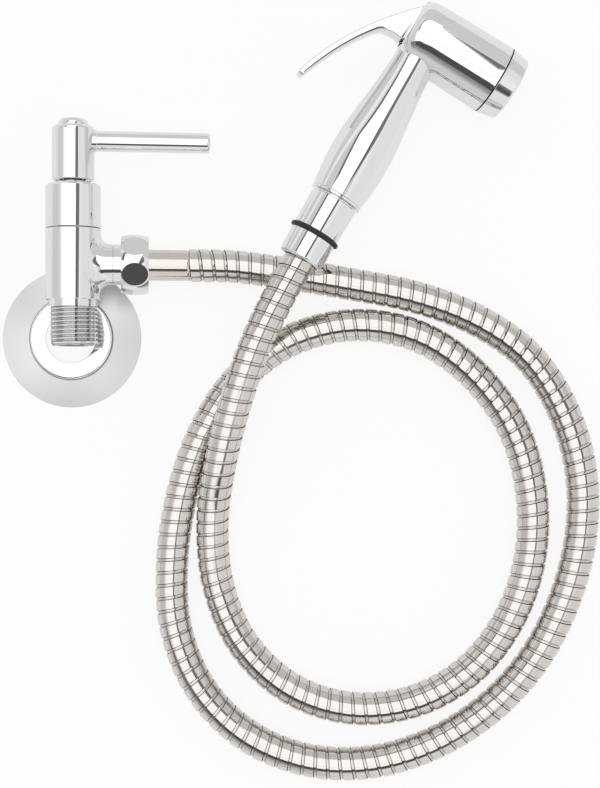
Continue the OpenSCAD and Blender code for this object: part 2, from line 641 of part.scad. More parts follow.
// ---------------------------------------------------------------- handset body
handle_lo = connector_flange_h - connector_step + seat_gap;
handle_outline = concat(
    bezier([[handle_end_d / 2, handle_lo], [handle_end_d / 2 + 0.8, handle_belly * 0.3],
            [handle_d / 2, handle_belly * 0.6], [handle_d / 2, handle_belly]], 7),
    bezier([[handle_d / 2, handle_belly], [handle_d / 2, head_z - 44.9],
            [handle_neck_d / 2 + 0.6, head_z - 29.9], [handle_neck_d / 2, head_z - 13.9]], 12));
head_r = head_d / 2;
head_outline = concat(
    [[0, -head_back]], bezier([[head_r - 6, 0.1 - head_back], [head_r - 2.6, 0.5 - head_back],
    [head_r - 1.2, 4 - head_back], [head_r - 0.6, 9 - head_back]], 8),
    [[head_r - 0.3, 14], [head_r, head_front], [0, head_front]]);
module head_cavities() {
    bar(gland_d + 2 * seat_gap, slot_x - over, gland_hi + over);
    bar(inlet_chamber_d, gland_hi, seat_x + over);
    bar(outlet_chamber_d, seat_x, shoulder_x + over);
    bar(spray_thread_d, shoulder_x, head_front + over);
}
module trigger_slot() rotate([90, 0, 0]) linear_extrude(trigger_w + 2 * swing_gap, center = true) {
    translate([slot_x - head_back - over, slot_bottom])
        square([head_back + over, slot_top - slot_bottom]);
    translate(pivot) circle(d = knuckle_d + 2.6 * swing_gap);
}
module pin_bore(d, lo, hi) at_handset() translate([pivot[0], 0, pivot[1]]) rotate([90, 0, 0])
    bar(d, -hi, -lo);
module handset_body() color("silver") difference() {
    union() {
        at_handset() rotate_extrude() polygon(concat([[0, handle_lo]], handle_outline,
            [[handle_neck_d / 2, head_z - 8], [0, head_z - 8]]));
        along_head() rotate_extrude() polygon(head_outline);
    }
    at_handset() bar(connector_spigot_d + 2 * seat_gap, -over, connector_spigot_l + 0.2);
    at_handset() bar(handle_bore, 0, head_z - 18);
    at_handset() translate([passage_x, 0, 0]) bar(passage_d, head_z - 21, head_z - 4);
    along_head() head_cavities();
    at_handset() trigger_slot();
    pin_bore(pin_d + 2 * turn_gap, pin_lo - 0.1, head_d);
}

// ---------------------------------------------------------------- trigger
blade_back = bezier([[-8.9, head_z + 9.4], [-22.3, head_z - 4.3], [-34.6, head_z - 21.5],
                     [-40.2, head_z - 41]], 12);
blade_front = concat(
    bezier([[-37.6, head_z - 41.8], [-33.4, head_z - 30.2], [-27.9, head_z - 19], [-20.3, head_z - 9.7]], 9),
    bezier([[-20.3, head_z - 9.7], [-18.4, head_z - 7.3], [-15, head_z - 6.7], [-9.8, head_z - 7.5]], 6));
module trigger_outline() difference() {
    polygon(concat(blade_back, arc([-38.85, head_z - 41.2], 1.4, 172, 334, 8), blade_front,
        [[pusher_x, head_z - 5.4], [pusher_x, head_z + 3.8]],
        arc(pivot, knuckle_d / 2, -135, 110, 16)));
    translate(pivot) circle(d = pin_d + 2 * turn_gap);
}
module trigger() color("silver") at_handset() rotate([90, 0, 0])
    linear_extrude(trigger_w, center = true) trigger_outline();
module trigger_pin() color("gray") pin_bore(pin_d, pin_lo, pin_hi);

// ---------------------------------------------------------------- valve in the head
module gland_bush() color("goldenrod") along_head() difference() {
    union() {
        bar(gland_d, slot_x, gland_hi + 1);
        bar(gland_d + 3.2, gland_hi + seat_gap, gland_hi + 1.4);
    }
    bar(plunger_d + 2 * turn_gap, slot_x - over, gland_hi + 3);
    bar(plunger_d + 2 * turn_gap + 2, gland_ring_x - 0.55, gland_ring_x + 0.55);
}
module gland_o_ring() color("#222222") along_head() translate([0, 0, gland_ring_x])
    o_ring(plunger_d + 3 * turn_gap, gland_ring_w);
module plunger() color("lightgray") along_head() rotate_extrude() polygon(concat(
    [[0, plunger_tip_x]], arc([0, plunger_tip_x + plunger_tip_r], plunger_tip_r, -75, -acos(plunger_d / 2 / plunger_tip_r), 5),
    [[plunger_d / 2, plunger_tip_x + 1.6], [plunger_d / 2, seat_lip_x],
     [stem_thread_d / 2, seat_lip_x], [stem_thread_d / 2, stem_end_x], [0, stem_end_x]]));
module seat_insert() color("goldenrod") along_head() difference() {
    union() {
        bar(inlet_chamber_d - 2 * seat_gap, seat_x - 4, seat_x + 0.5);
        bar(outlet_chamber_d - 2 * loose_gap, seat_x + seat_gap, seat_x + 1);
        bar(seat_bore + 1.6, seat_x, seat_lip_x);
    }
    bar(seat_bore, seat_x - 4 - over, seat_lip_x + over);
    translate([0, 0, seat_x - 2]) ring(inlet_chamber_d + over, inlet_chamber_d - 2, -0.55, 0.55);
}
module seat_o_ring() color("#222222") along_head() translate([0, 0, seat_x - 2])
    o_ring(inlet_chamber_d - 1.96, 0.9);
module poppet_seal() color("#222222") along_head()
    ring(poppet_d, stem_thread_d + 2 * seat_gap, seal_x, seal_x + seal_t);
module poppet_holder() color("goldenrod") along_head()
    ring(poppet_d + 0.8, stem_thread_d + 2 * seat_gap, holder_x, holder_x + holder_t);
module plunger_nut() color("goldenrod") along_head() difference() {
    translate([0, 0, spring_x]) cylinder(d = 6, h = 2, $fn = 6);
    bar(stem_thread_d + 2 * seat_gap, spring_x - over, spring_x + 2 + over);
}
module return_spring() color("gray") along_head()
    ring(spring_d, spring_d - 2 * spring_wire, spring_x, shoulder_x);
module spring_carrier() color("#dddddd") along_head() difference() {
    bar(face_d, carrier_x, face_gasket_x - seat_gap);
    bar(face_d - 2, carrier_x + carrier_t, face_gasket_x + over);
    for (k = [0:5]) rotate([0, 0, 60 * k]) translate([7.6, 0, 0])
        bar(3.2, carrier_x - over, carrier_x + carrier_t + over);
}
module face_gasket() color("#222222") along_head()
    ring(face_d, face_d - 2.8, face_gasket_x, face_gasket_x + face_gasket_t);
module spray_face() color("lightgray") along_head() difference() {
    bar(face_d, face_x, face_x + face_t);
    for (row = [1:3], k = [0:6 * row - 1]) rotate([0, 0, 60 * k / row]) translate([2.9 * row, 0, 0])
        bar(jet_d, face_x - over, face_x + face_t + over);
}
module rim_washer() color("#1c1c1c") along_head()
    ring(head_d - 0.4, spray_thread_d, head_front, ring_x);
module spray_ring() color("silver") along_head() rotate_extrude() polygon(concat(
    [[ring_bore / 2, carrier_x + 0.5], [spray_thread_d / 2 - seat_gap, carrier_x + 0.5],
     [spray_thread_d / 2 - seat_gap, ring_x], [head_r - 0.1, ring_x]],
    arc([spray_front_d / 2 - ring_edge, ring_front - ring_edge], ring_edge, 8, 90, 6),
    [[ring_bore / 2 - 0.8, ring_front], [ring_bore / 2 - 0.8, ring_front - lip_t],
     [ring_bore / 2, ring_front - lip_t]]));

wall_flange();
valve_body();
bonnet();
cartridge_body();
seat_gasket();
fixed_disc();
moving_disc();
valve_spindle();
spindle_o_rings();
lever_hub();
hub_screw();
hub_cap();
lever_rod();
hose_nut();
nut_washer();
valve_insert();
valve_ferrule();
metal_hose();
hose_liner();
handset_ferrule();
handset_insert();
cone_nut();
cone_ring();
cone_washer();
inlet_connector();
handset_body();
trigger();
trigger_pin();
gland_bush();
gland_o_ring();
plunger();
seat_insert();
seat_o_ring();
poppet_seal();
poppet_holder();
plunger_nut();
return_spring();
spring_carrier();
face_gasket();
spray_face();
rim_washer();
spray_ring();
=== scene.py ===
"""A handheld bath sprayer: a lever valve on its wall flange, a ribbed hose and a trigger handset."""
import json
import math

import bmesh
import bpy
import numpy as np
from mathutils import Matrix, Vector


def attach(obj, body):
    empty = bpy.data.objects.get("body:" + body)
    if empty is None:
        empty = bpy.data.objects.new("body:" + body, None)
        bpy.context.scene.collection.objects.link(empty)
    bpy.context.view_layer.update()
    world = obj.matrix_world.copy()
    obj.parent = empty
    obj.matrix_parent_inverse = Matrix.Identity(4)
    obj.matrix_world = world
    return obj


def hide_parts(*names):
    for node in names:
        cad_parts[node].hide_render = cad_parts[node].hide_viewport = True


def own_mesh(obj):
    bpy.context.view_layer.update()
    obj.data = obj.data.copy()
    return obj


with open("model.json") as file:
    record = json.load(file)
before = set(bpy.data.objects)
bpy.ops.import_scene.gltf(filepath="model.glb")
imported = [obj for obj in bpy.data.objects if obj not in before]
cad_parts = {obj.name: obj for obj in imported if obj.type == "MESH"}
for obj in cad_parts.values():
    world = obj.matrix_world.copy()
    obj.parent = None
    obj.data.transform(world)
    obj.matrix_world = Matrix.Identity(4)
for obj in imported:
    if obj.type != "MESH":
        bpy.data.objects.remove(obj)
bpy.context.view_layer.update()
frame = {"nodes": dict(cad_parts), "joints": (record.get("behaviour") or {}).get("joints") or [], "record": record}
MM = 0.001


# ------------------------------------------------------------------ places
def turn(degrees, axis):
    return Matrix.Rotation(math.radians(degrees), 4, axis)


def shift(x, y, z):
    return Matrix.Translation(Vector((x, y, z)) * MM)


JOINTS = {joint["name"]: joint for joint in frame["joints"]}

# The valve's axis over the table, the flange's middle on the table, and where valve and outlet meet
AXIS_HIGH = 15.95
TABLE = Vector((-2.8, 2.0, -AXIS_HIGH))
VALVE_O = Vector((0, 32.75, 0))
# Up the lever hub to the rod, and up the handle to the head
ROD_A = 52.4
HEAD_Z = 77.9

# The hose nut: its ends along the outlet, across its flats, its turn and how far its corners bulge
NUT_X = 20.2
NUT_HIGH = 31.8
NUT_FLATS = 24
NUT_TURN = 6.4
NUT_BULGE = 1.1
NUT_END_R = NUT_FLATS / 2 - 0.1
NUT_MID = (NUT_X + NUT_HIGH) / 2
NUT_HALF = (NUT_HIGH - NUT_X) / 2
NUT_ROUND = (NUT_HALF**2 + NUT_BULGE**2) / (2 * NUT_BULGE)
NUT_CENTRE_R = NUT_END_R + NUT_BULGE - NUT_ROUND


def droop():
    """How far the valve rolls over, in degrees, until the hose nut's lowest corner meets the table."""
    turned = math.cos(math.radians(NUT_TURN))
    low = NUT_CENTRE_R * turned
    lean = math.asin((AXIS_HIGH - NUT_ROUND * turned) / math.hypot(NUT_MID, low))
    return math.degrees(lean - math.atan2(low, NUT_MID))


def handset_place():
    """The handset's own axes: Z from the swivel up the handle, X along the head, as the plunger slides."""
    swivel = JOINTS["handset_swivel"]
    up = Vector(swivel["axis"]).normalized()
    ahead = Vector(JOINTS["plunger_slide"]["axis"]).normalized()
    axes = Matrix((ahead, up.cross(ahead), up)).transposed()
    return Matrix.Translation(Vector(swivel["pos_m"])) @ axes.to_4x4()


AT_VALVE = shift(*VALVE_O) @ turn(droop(), "Y")
ALONG_VALVE = AT_VALVE @ turn(-90, "X")
ALONG_OUTLET = AT_VALVE @ turn(90, "Y")
ALONG_ROD = AT_VALVE @ shift(0, ROD_A, 0) @ turn(90, "Y")
AT_HANDSET = handset_place()
BELOW_HANDLE = AT_HANDSET @ turn(180, "X")
ALONG_HEAD = AT_HANDSET @ shift(0, 0, HEAD_Z) @ turn(90, "Y")
ON_TABLE = shift(*TABLE)

# ------------------------------------------------------------------ camera
CAMERA_HEIGHT = 640
VIEW_MIDDLE = (96.2, -22.2)
camera = bpy.data.objects.new("camera", bpy.data.cameras.new("camera"))
bpy.context.scene.collection.objects.link(camera)
camera.location = Vector((*VIEW_MIDDLE, CAMERA_HEIGHT - AXIS_HIGH)) * MM
camera.data.sensor_width = 36
camera.data.lens = 67.25
camera.data.clip_start = 0.01
camera.data.clip_end = 20
bpy.context.scene.camera = camera
bpy.context.scene.view_settings.view_transform = "Standard"


# ------------------------------------------------------------------ shader nodes
class Wire:
    """A node's output. Python's operators on it add Math nodes."""

    def __init__(self, graph, socket):
        self.graph = graph
        self.socket = socket

    def maths(self, operation, *values):
        return self.graph.node("ShaderNodeMath", {"operation": operation}, *values)

    def __add__(self, other):
        return self.maths("ADD", self, other)

    def __radd__(self, other):
        return self.maths("ADD", other, self)

    def __sub__(self, other):
        return self.maths("SUBTRACT", self, other)

    def __rsub__(self, other):
        return self.maths("SUBTRACT", other, self)

    def __mul__(self, other):
        return self.maths("MULTIPLY", self, other)

    def __rmul__(self, other):
        return self.maths("MULTIPLY", other, self)

    def __truediv__(self, other):
        return self.maths("DIVIDE", self, other)

    def above(self, edge, soft):
        """0 below the edge and 1 above it, over a soft width."""
        settings = {"interpolation_type": "SMOOTHSTEP"}
        return self.graph.node("ShaderNodeMapRange", settings, self, edge - soft / 2, edge + soft / 2, 0, 1)

    def between(self, low, high, soft):
        """1 between the two edges, which are as soft as said."""
        return self.above(low, soft) * (1 - self.above(high, soft))

    def high(self, other):
        """The higher of the two."""
        return self.maths("MAXIMUM", self, other)

    def low(self, other):
        """The lower of the two."""
        return self.maths("MINIMUM", self, other)


class Graph:
    """A node tree, empty at first."""

    def __init__(self, tree):
        self.tree = tree
        tree.nodes.clear()

    def node(self, kind, settings, *values, output=0, **named):
        """Adds a node: its settings first, then the values or links of its sockets, by order or by name."""
        made = self.tree.nodes.new(kind)
        for key, value in settings.items():
            setattr(made, key, value)
        for key, value in [*enumerate(values), *named.items()]:
            socket = made.inputs[key if isinstance(key, int) else key.replace("_", " ")]
            if isinstance(value, Wire):
                self.tree.links.new(value.socket, socket)
            elif value is not None:
                socket.default_value = value
        return Wire(self, made.outputs[output]) if made.outputs else None

    def mix(self, amount, a, b):
        """A colour between a and b."""
        made = self.tree.nodes.new("ShaderNodeMix")
        made.data_type = "RGBA"
        for name, value in (("Factor_Float", amount), ("A_Color", a), ("B_Color", b)):
            socket = next(s for s in made.inputs if s.identifier == name)
            if isinstance(value, Wire):
                self.tree.links.new(value.socket, socket)
            else:
                socket.default_value = (*value, 1) if isinstance(value, tuple) else value
        return Wire(self, next(s for s in made.outputs if s.identifier == "Result_Color"))

    def radius(self, place, keep):
        """The distance from an axis: keep is 0 along the axis and 1 across it."""
        flat = self.node("ShaderNodeVectorMath", {"operation": "MULTIPLY"}, place, keep)
        return self.node("ShaderNodeVectorMath", {"operation": "LENGTH"}, flat, output="Value")

    def noise(self, place, scale, detail=3, roughness=0.5):
        """Cloudy noise round 0.5, with about so many cells to each unit of the place."""
        named = {"Vector": place, "Scale": scale, "Detail": detail, "Roughness": roughness}
        return self.node("ShaderNodeTexNoise", {}, **named)

    def stretched(self, place, scale):
        """The same place with each axis scaled, so that a pattern on it is drawn out."""
        return self.node("ShaderNodeMapping", {"vector_type": "POINT"}, Vector=place, Scale=scale)


def shader(name, make, **constants):
    """A Principled material.

    make(graph, place) gives what varies over the surface, and constants sit on the shader's own sockets.
    """
    material = bpy.data.materials.new(name)
    material.use_nodes = True
    graph = Graph(material.node_tree)
    place = graph.node("ShaderNodeTexCoord", {}, output="Object")
    varying = make(graph, place)
    bump = varying.pop("bump", None)
    if bump is not None:
        height, rise, strength = bump
        varying["Normal"] = graph.node("ShaderNodeBump", {}, Strength=strength, Distance=rise, Height=height)
    sockets = {key.replace(" ", "_"): value for key, value in {**constants, **varying}.items()}
    surface = graph.node("ShaderNodeBsdfPrincipled", {}, **sockets)
    graph.node("ShaderNodeOutputMaterial", {}, Surface=surface)
    return material


def plated(name, light, dark, polish, wear, ripple, valve=False):
    """Bright plating. Polish and wear are its least and most roughness, ripple its waviness in millimetres.

    The valve's own has painted shade, dark and rough, in the seam under the bonnet and at the roots of the inlet's
    thread.
    """

    def make(graph, place):
        smears = graph.noise(place, 34, 4, 0.55).above(0.56, 0.3)
        scratches = graph.noise(graph.stretched(place, (900, 140, 500)), 1, 2, 0.6).above(0.66, 0.12)
        haze = smears * 0.6 + scratches * 0.4
        colour = graph.mix(smears * 0.6, light, dark)
        if valve:
            along = graph.node("ShaderNodeSeparateXYZ", {}, place, output="Y")
            radius = graph.radius(place, (1, 0, 1))
            # Painted shade: the seam under the bonnet and the thread's roots are darkened to near black and made
            # rougher
            seam = along.between(VALVE_SEAM - SEAM_HALF, VALVE_SEAM + SEAM_HALF, 0.0002)
            roots = 0.6 * (1 - radius.above(THREAD_ROOT, 0.0004)) * (1 - along.above(THREAD_TOP, 0.0003))
            seam_and_root_shade = seam.high(roots)
            colour = graph.mix(seam_and_root_shade * 0.8, colour, (0.10, 0.10, 0.105))
            haze = haze.high(seam_and_root_shade * 3)
        return {
            "Base Color": colour,
            "Roughness": polish + haze * (wear - polish),
            "bump": (graph.noise(place, 90, 2, 0.5), ripple * MM, 0.4),
        }

    return shader(name, make, Metallic=1.0)


# Where the valve's chrome takes its painted shade: the seam's middle and half width, the thread's top and its root
# radius
VALVE_SEAM = (VALVE_O.y + 15.075) * MM
SEAM_HALF = 0.22 * MM
THREAD_TOP = (VALVE_O.y - 17.8) * MM
THREAD_ROOT = 9.6 * MM
CHROME = plated("chrome", (0.80, 0.805, 0.81), (0.77, 0.775, 0.785), 0.025, 0.07, 0.006, valve=True)
CHROME_SOFT = plated("chrome on the handset", (0.80, 0.805, 0.81), (0.77, 0.775, 0.785), 0.03, 0.08, 0.008)

FLANGE_R = 30
STEP_R = 17.75
HOLE_R = 10.75


def flange_sheet():
    """The wall flange: its skirt brushed, its middle polished, and painted shade in the corner between them."""

    def make(graph, place):
        middle = tuple(-TABLE * MM)
        centred = graph.node("ShaderNodeMapping", {"vector_type": "POINT"}, Vector=place, Location=middle)
        radius = graph.radius(centred, (1, 1, 0))
        skirt = radius.above((STEP_R + 0.35) * MM, 0.0004)
        rings = graph.noise(graph.node("ShaderNodeCombineXYZ", {}, radius * 9000), 1, 2, 0.6)
        cloud = graph.noise(place, 40, 3)
        sheet = graph.mix(cloud, (0.89, 0.895, 0.90), (0.86, 0.865, 0.87))
        brushed = graph.mix(cloud, (0.79, 0.795, 0.80), (0.77, 0.775, 0.78))
        # Painted shade: a dark ring at the step between the skirt and the raised middle
        corner = radius.between((STEP_R + 0.05) * MM, (STEP_R + 0.4) * MM, 0.0002)
        return {
            "Base Color": graph.mix(corner * 0.75, graph.mix(skirt, sheet, brushed), (0.12, 0.12, 0.125)),
            "Roughness": 0.10 + skirt * 0.26 + cloud * 0.05,
            "bump": (rings, 0.004 * MM, 0.3),
        }

    return shader("flange sheet", make, Metallic=1.0)


SHEET = flange_sheet()


def turned_steel(name, light, dark, low, high):
    """Turned or drawn metal: a fine grain across its length, and its least and most roughness."""

    def make(graph, place):
        grain = graph.noise(graph.stretched(place, (260, 2600, 2600)), 1, 3, 0.6)
        cloud = graph.noise(place, 45, 3)
        return {
            "Base Color": graph.mix(cloud, light, dark),
            "Roughness": low + (high - low) * grain,
            "bump": (grain, 0.01 * MM, 0.3),
        }

    return shader(name, make, Metallic=1.0)


FERRULE_STEEL = turned_steel("drawn ferrule steel", (0.70, 0.665, 0.625), (0.66, 0.62, 0.575), 0.08, 0.14)
STEEL = turned_steel("turned steel", (0.55, 0.55, 0.55), (0.48, 0.48, 0.49), 0.16, 0.26)
BRASS = turned_steel("machined brass", (0.66, 0.48, 0.20), (0.56, 0.40, 0.16), 0.18, 0.32)


def hose_steel():
    """The hose's strip: painted shade in its crevices, with drag marks along the strip."""

    def make(graph, place):
        crevice = graph.node("ShaderNodeAttribute", {"attribute_name": "crevice"}, output="Fac")
        along = graph.node("ShaderNodeUVMap", {"uv_map": "wind"})
        drag = graph.noise(graph.stretched(along, (6, 1400, 1)), 1, 3, 0.6)
        cloud = graph.noise(place, 60, 3)
        clean = graph.mix(cloud, (0.72, 0.69, 0.655), (0.66, 0.625, 0.585))
        return {
            # Painted shade: the crevice attribute darkens the strip to near black in the gaps between its turns
            "Base Color": graph.mix(crevice, clean, (0.06, 0.054, 0.05)),
            "Roughness": 0.07 + drag * 0.07 + crevice * 0.3,
            "bump": (drag, 0.008 * MM, 0.35),
        }

    return shader("wound hose strip", make, Metallic=1.0)


HOSE_STEEL = hose_steel()


def plain(name, light, dark, rough_low, rough_high, grain_scale, grain_height):
    """Rubber, plastic or ceramic, clouded between two colours and grained."""

    def make(graph, place):
        cloud = graph.noise(place, 70, 3)
        grain = graph.noise(place, grain_scale, 2, 0.6)
        return {
            "Base Color": graph.mix(cloud, light, dark),
            "Roughness": rough_low + (rough_high - rough_low) * grain,
            "bump": (grain, grain_height * MM, 0.5),
        }

    return shader(name, make)


RUBBER = plain("black rubber", (0.014, 0.014, 0.015), (0.008, 0.008, 0.009), 0.45, 0.6, 1800, 0.02)
LINER = plain("off-white tube", (0.82, 0.82, 0.79), (0.76, 0.76, 0.72), 0.35, 0.45, 700, 0.01)
CERAMIC = plain("lapped ceramic", (0.88, 0.87, 0.83), (0.84, 0.83, 0.79), 0.12, 0.2, 900, 0.003)

SLOT_MATERIALS = {
    "chrome": CHROME,
    "flange_steel": SHEET,
    "hose_steel": HOSE_STEEL,
    "ferrule_steel": FERRULE_STEEL,
    "steel": STEEL,
    "brass": BRASS,
    "rubber": RUBBER,
    "liner": LINER,
    "ceramic": CERAMIC,
}
NODE_SLOT = {s["node"]: s["material_slot"] for s in frame["record"]["subparts"]}
for node_name, node in frame["nodes"].items():
    finish = SLOT_MATERIALS[NODE_SLOT[node_name]]
    if not node.material_slots:
        node.data.materials.append(finish)
    for place_for in node.material_slots:
        place_for.link = "OBJECT"
        place_for.material = finish


# ------------------------------------------------------------------ the hose
HOSE_R = 7.0
GROOVE_R = 6.46
CREVICE_R = 6.05
STRIP_PITCH = 5.39
ROUTE = [
    (93.5, 27.5, 7.5), (121, 23, 7), (148.5, 17.5, 7), (175, 7.5, 7), (197.5, -8.5, 7),
    (212.5, -32, 7), (220, -59, 7), (219.5, -87, 7), (212, -114.5, 7), (199, -139, 7),
    (180, -159.5, 7), (156, -174.5, 7), (129, -182.5, 7), (101.5, -181.5, 7),
    (75.5, -170.5, 7), (56, -150.5, 7), (45.5, -124.5, 7), (44, -96.5, 7), (48, -68.5, 7),
    (57, -42, 7), (72, -18.5, 7), (94, -1.5, 7), (121.5, 5.5, 7), (149, 1, 7),
    (172, -14, 7), (189.5, -36.5, 7), (198, -63, 7), (198.5, -91, 7), (190.5, -118, 7),
    (174, -141, 7), (150.5, -155.5, 7), (122.5, -159.5, 7), (96, -151.5, 7),
    (75.5, -133, 7), (64, -107.5, 7), (61.5, -79, 9.5), (65.5, -52, 15.6),
    (72.5, -25.5, 20.8), (82, 0.5, 22.7),
]
FERRULE_END = 49
SWIVEL_END = 24
STRAIGHT = 14
ROUTE_STEP = 27
CURVE_STEPS = 10
TUBE_R = 4.7
TUBE_BORE_R = 3.7
TUBE_BEFORE = 17.9
TUBE_AFTER = 7.7

valve_dir = AT_VALVE.to_3x3() @ Vector((1, 0, 0))
handset_dir = AT_HANDSET.to_3x3() @ Vector((0, 0, 1))
hose_start = VALVE_O + FERRULE_END * valve_dir
hose_end = AT_HANDSET.translation / MM - SWIVEL_END * handset_dir


def hose_curve():
    """The points down the middle of the hose, in millimetres."""
    route = [TABLE + Vector(point) for point in ROUTE]
    knots = [hose_start + STRAIGHT * valve_dir, *route, hose_end - STRAIGHT * handset_dir]
    guides = [knots[1] - 2 * ROUTE_STEP * valve_dir, *knots, knots[-2] + 2 * ROUTE_STEP * handset_dir]
    points = [hose_start]
    for a, b, c, d in zip(guides, guides[1:], guides[2:], guides[3:]):
        bend = 2 * a - 5 * b + 4 * c - d
        twist = 3 * b - a - 3 * c + d
        for k in range(CURVE_STEPS):
            t = k / CURVE_STEPS
            point = (2 * b + (c - a) * t + bend * t**2 + twist * t**3) / 2
            point.z = max(point.z, TABLE.z + HOSE_R)
            points.append(point)
    return np.array([*points, knots[-1], hose_end], float)


def resampled(points, step):
    """The same line with even steps, its corners eased."""
    along = np.concatenate([[0], np.cumsum(np.linalg.norm(np.diff(points, axis=0), axis=1))])
    at = np.linspace(0, along[-1], int(along[-1] / step) + 1)
    fine = np.stack([np.interp(at, along, points[:, k]) for k in range(3)], 1)
    for _ in range(12):
        fine[1:-1] = (fine[:-2] + 2 * fine[1:-1] + fine[2:]) / 4
    return fine


hose_line = resampled(hose_curve(), 1.0)
reach = np.concatenate([[0], np.cumsum(np.linalg.norm(np.diff(hose_line, axis=0), axis=1))])
hose_length = reach[-1]


def middle_at(s):
    """The hose's middle at stations s along it, which stop at its ends."""
    at = np.clip(s, 0, hose_length)
    return np.stack([np.interp(at, reach, hose_line[:, k]) for k in range(3)], -1)


def hose_rings(s, angle, radius):
    """Points round the hose at stations s along it. A station past an end lies straight on from there."""
    at = np.clip(s, 0, hose_length)
    heading = middle_at(at + 1.5) - middle_at(at - 1.5)
    heading /= np.linalg.norm(heading, axis=-1, keepdims=True)
    side = np.cross(heading, (0, 0, 1))
    side /= np.linalg.norm(side, axis=-1, keepdims=True)
    up = np.cross(side, heading)
    centre = middle_at(at) + (s - at)[..., None] * heading
    outward = np.cos(angle)[None, :, None] * up + np.sin(angle)[None, :, None] * side
    return centre + radius * outward


# One turn of the strip: share of the pitch, radius, and how deep in a crevice it lies, up to 1, which sets its
# painted shade
STRIP = [
    (0.000, CREVICE_R, 1.0),
    (0.010, HOSE_R - 0.08, 0.5),
    (0.022, HOSE_R, 0.0),
    (0.040, HOSE_R, 0.0),
    (0.705, HOSE_R, 0.0),
    (0.723, HOSE_R, 0.0),
    (0.735, HOSE_R - 0.07, 0.3),
    (0.745, GROOVE_R, 1.0),
    (0.790, GROOVE_R, 0.3),
    (0.950, GROOVE_R, 0.0),
    (0.968, GROOVE_R - 0.02, 0.8),
    (0.985, CREVICE_R, 1.0),
]
AROUND = 28


def linked(name, mesh):
    """An object for the mesh, with the mesh's faces turned outwards."""
    bm = bmesh.new()
    bm.from_mesh(mesh)
    bmesh.ops.recalc_face_normals(bm, faces=bm.faces)
    bm.to_mesh(mesh)
    bm.free()
    piece = bpy.data.objects.new(name, mesh)
    bpy.context.scene.collection.objects.link(piece)
    return piece


def welded(mesh):
    """Merges what the strip's run-outs at the hose's ends left doubled, and closes both ends."""
    bm = bmesh.new()
    bm.from_mesh(mesh)
    bmesh.ops.delete(bm, geom=[v for v in bm.verts if not v.link_faces], context="VERTS")
    bmesh.ops.remove_doubles(bm, verts=bm.verts, dist=2e-6)
    bmesh.ops.dissolve_degenerate(bm, edges=bm.edges, dist=1e-6)
    for end in (hose_start, hose_end):
        rim = [e for e in bm.edges if e.is_boundary and (e.verts[0].co - Vector(end) * MM).length < 0.01]
        bmesh.ops.contextual_create(bm, geom=rim)
    bm.to_mesh(mesh)
    bm.free()


def wound_hose(name):
    """The hose as one strip wound round it: rows run along the strip's edge, columns round the hose.

    Where a row would run past an end of the hose, its points lie on the end instead.
    """
    pitch = hose_length / round(hose_length / STRIP_PITCH)
    turns = round(hose_length / pitch) + 1
    per_turn = len(STRIP)
    share, radii, depths = np.array([*STRIP, (1 + STRIP[0][0], *STRIP[0][1:])]).T
    rows = np.array([(n + place, r, d) for n in range(turns + 1) for place, r, d in STRIP])
    row_count = len(rows)
    angle = np.arange(AROUND) * 2 * math.pi / AROUND
    wanted = pitch * (rows[:, :1] + angle[None] / (2 * math.pi) - 1)
    station = np.clip(wanted, 0, hose_length)
    phase = (station / pitch - angle[None] / (2 * math.pi)) % 1
    past_end = wanted != station
    radius = np.where(past_end, np.interp(phase, share, radii), rows[:, 1:2])
    depth = np.where(past_end, np.interp(phase, share, depths), rows[:, 2:3])
    points = hose_rings(station, angle, radius[..., None])
    faces = []
    face_corners = []
    for k in range(row_count - 1):
        for i in range(AROUND):
            j, step = (i + 1, 0) if i + 1 < AROUND else (0, per_turn)
            if k + 1 + step >= row_count:
                continue
            corners = ((k, i), (k + 1, i), (k + 1 + step, j), (k + step, j))
            if len({round(float(station[corner]), 6) for corner in corners}) == 1:
                continue
            faces.append([row * AROUND + column for row, column in corners])
            face_corners.append([
                ((column if column or j else AROUND) / AROUND, float(station[row, column]) * MM)
                for row, column in corners
            ])
    mesh = bpy.data.meshes.new(name)
    mesh.from_pydata((points.reshape(-1, 3) * MM).tolist(), [], faces)
    wind = mesh.uv_layers.new(name="wind")
    for polygon, corners in zip(mesh.polygons, face_corners):
        for loop, corner in zip(polygon.loop_indices, corners):
            wind.data[loop].uv = corner
    # How deep each point lies in a crevice, which the hose's material turns into painted shade
    crevice = mesh.attributes.new("crevice", "FLOAT", "POINT")
    crevice.data.foreach_set("value", depth.ravel().astype(np.float32))
    welded(mesh)
    return linked(name, mesh)


def inner_tube(name):
    """The plain tube inside the hose, running on into the ferrules at both ends."""
    count = 24
    past_ends = [hose_length, hose_length + TUBE_AFTER]
    stations = np.concatenate([[-TUBE_BEFORE], np.arange(0, hose_length, 4.0), past_ends])
    angle = np.arange(count) * 2 * math.pi / count
    outside = hose_rings(np.repeat(stations[:, None], count, 1), angle, TUBE_R)
    inside = hose_rings(np.repeat(stations[::-1, None], count, 1), angle, TUBE_BORE_R)
    points = np.concatenate([outside, inside])
    faces = []
    for k in range(len(points)):
        here, there = k * count, (k + 1) % len(points) * count
        for i in range(count):
            j = (i + 1) % count
            faces.append([here + i, there + i, there + j, here + j])
    mesh = bpy.data.meshes.new(name)
    mesh.from_pydata((points.reshape(-1, 3) * MM).tolist(), [], faces)
    return linked(name, mesh)


# ------------------------------------------------------------------ modelling
def nothing_selected():
    if bpy.context.object and bpy.context.object.mode != "OBJECT":
        bpy.ops.object.mode_set(mode="OBJECT")
    bpy.ops.object.select_all(action="DESELECT")


def only(piece):
    nothing_selected()
    piece.select_set(True)
    bpy.context.view_layer.objects.active = piece


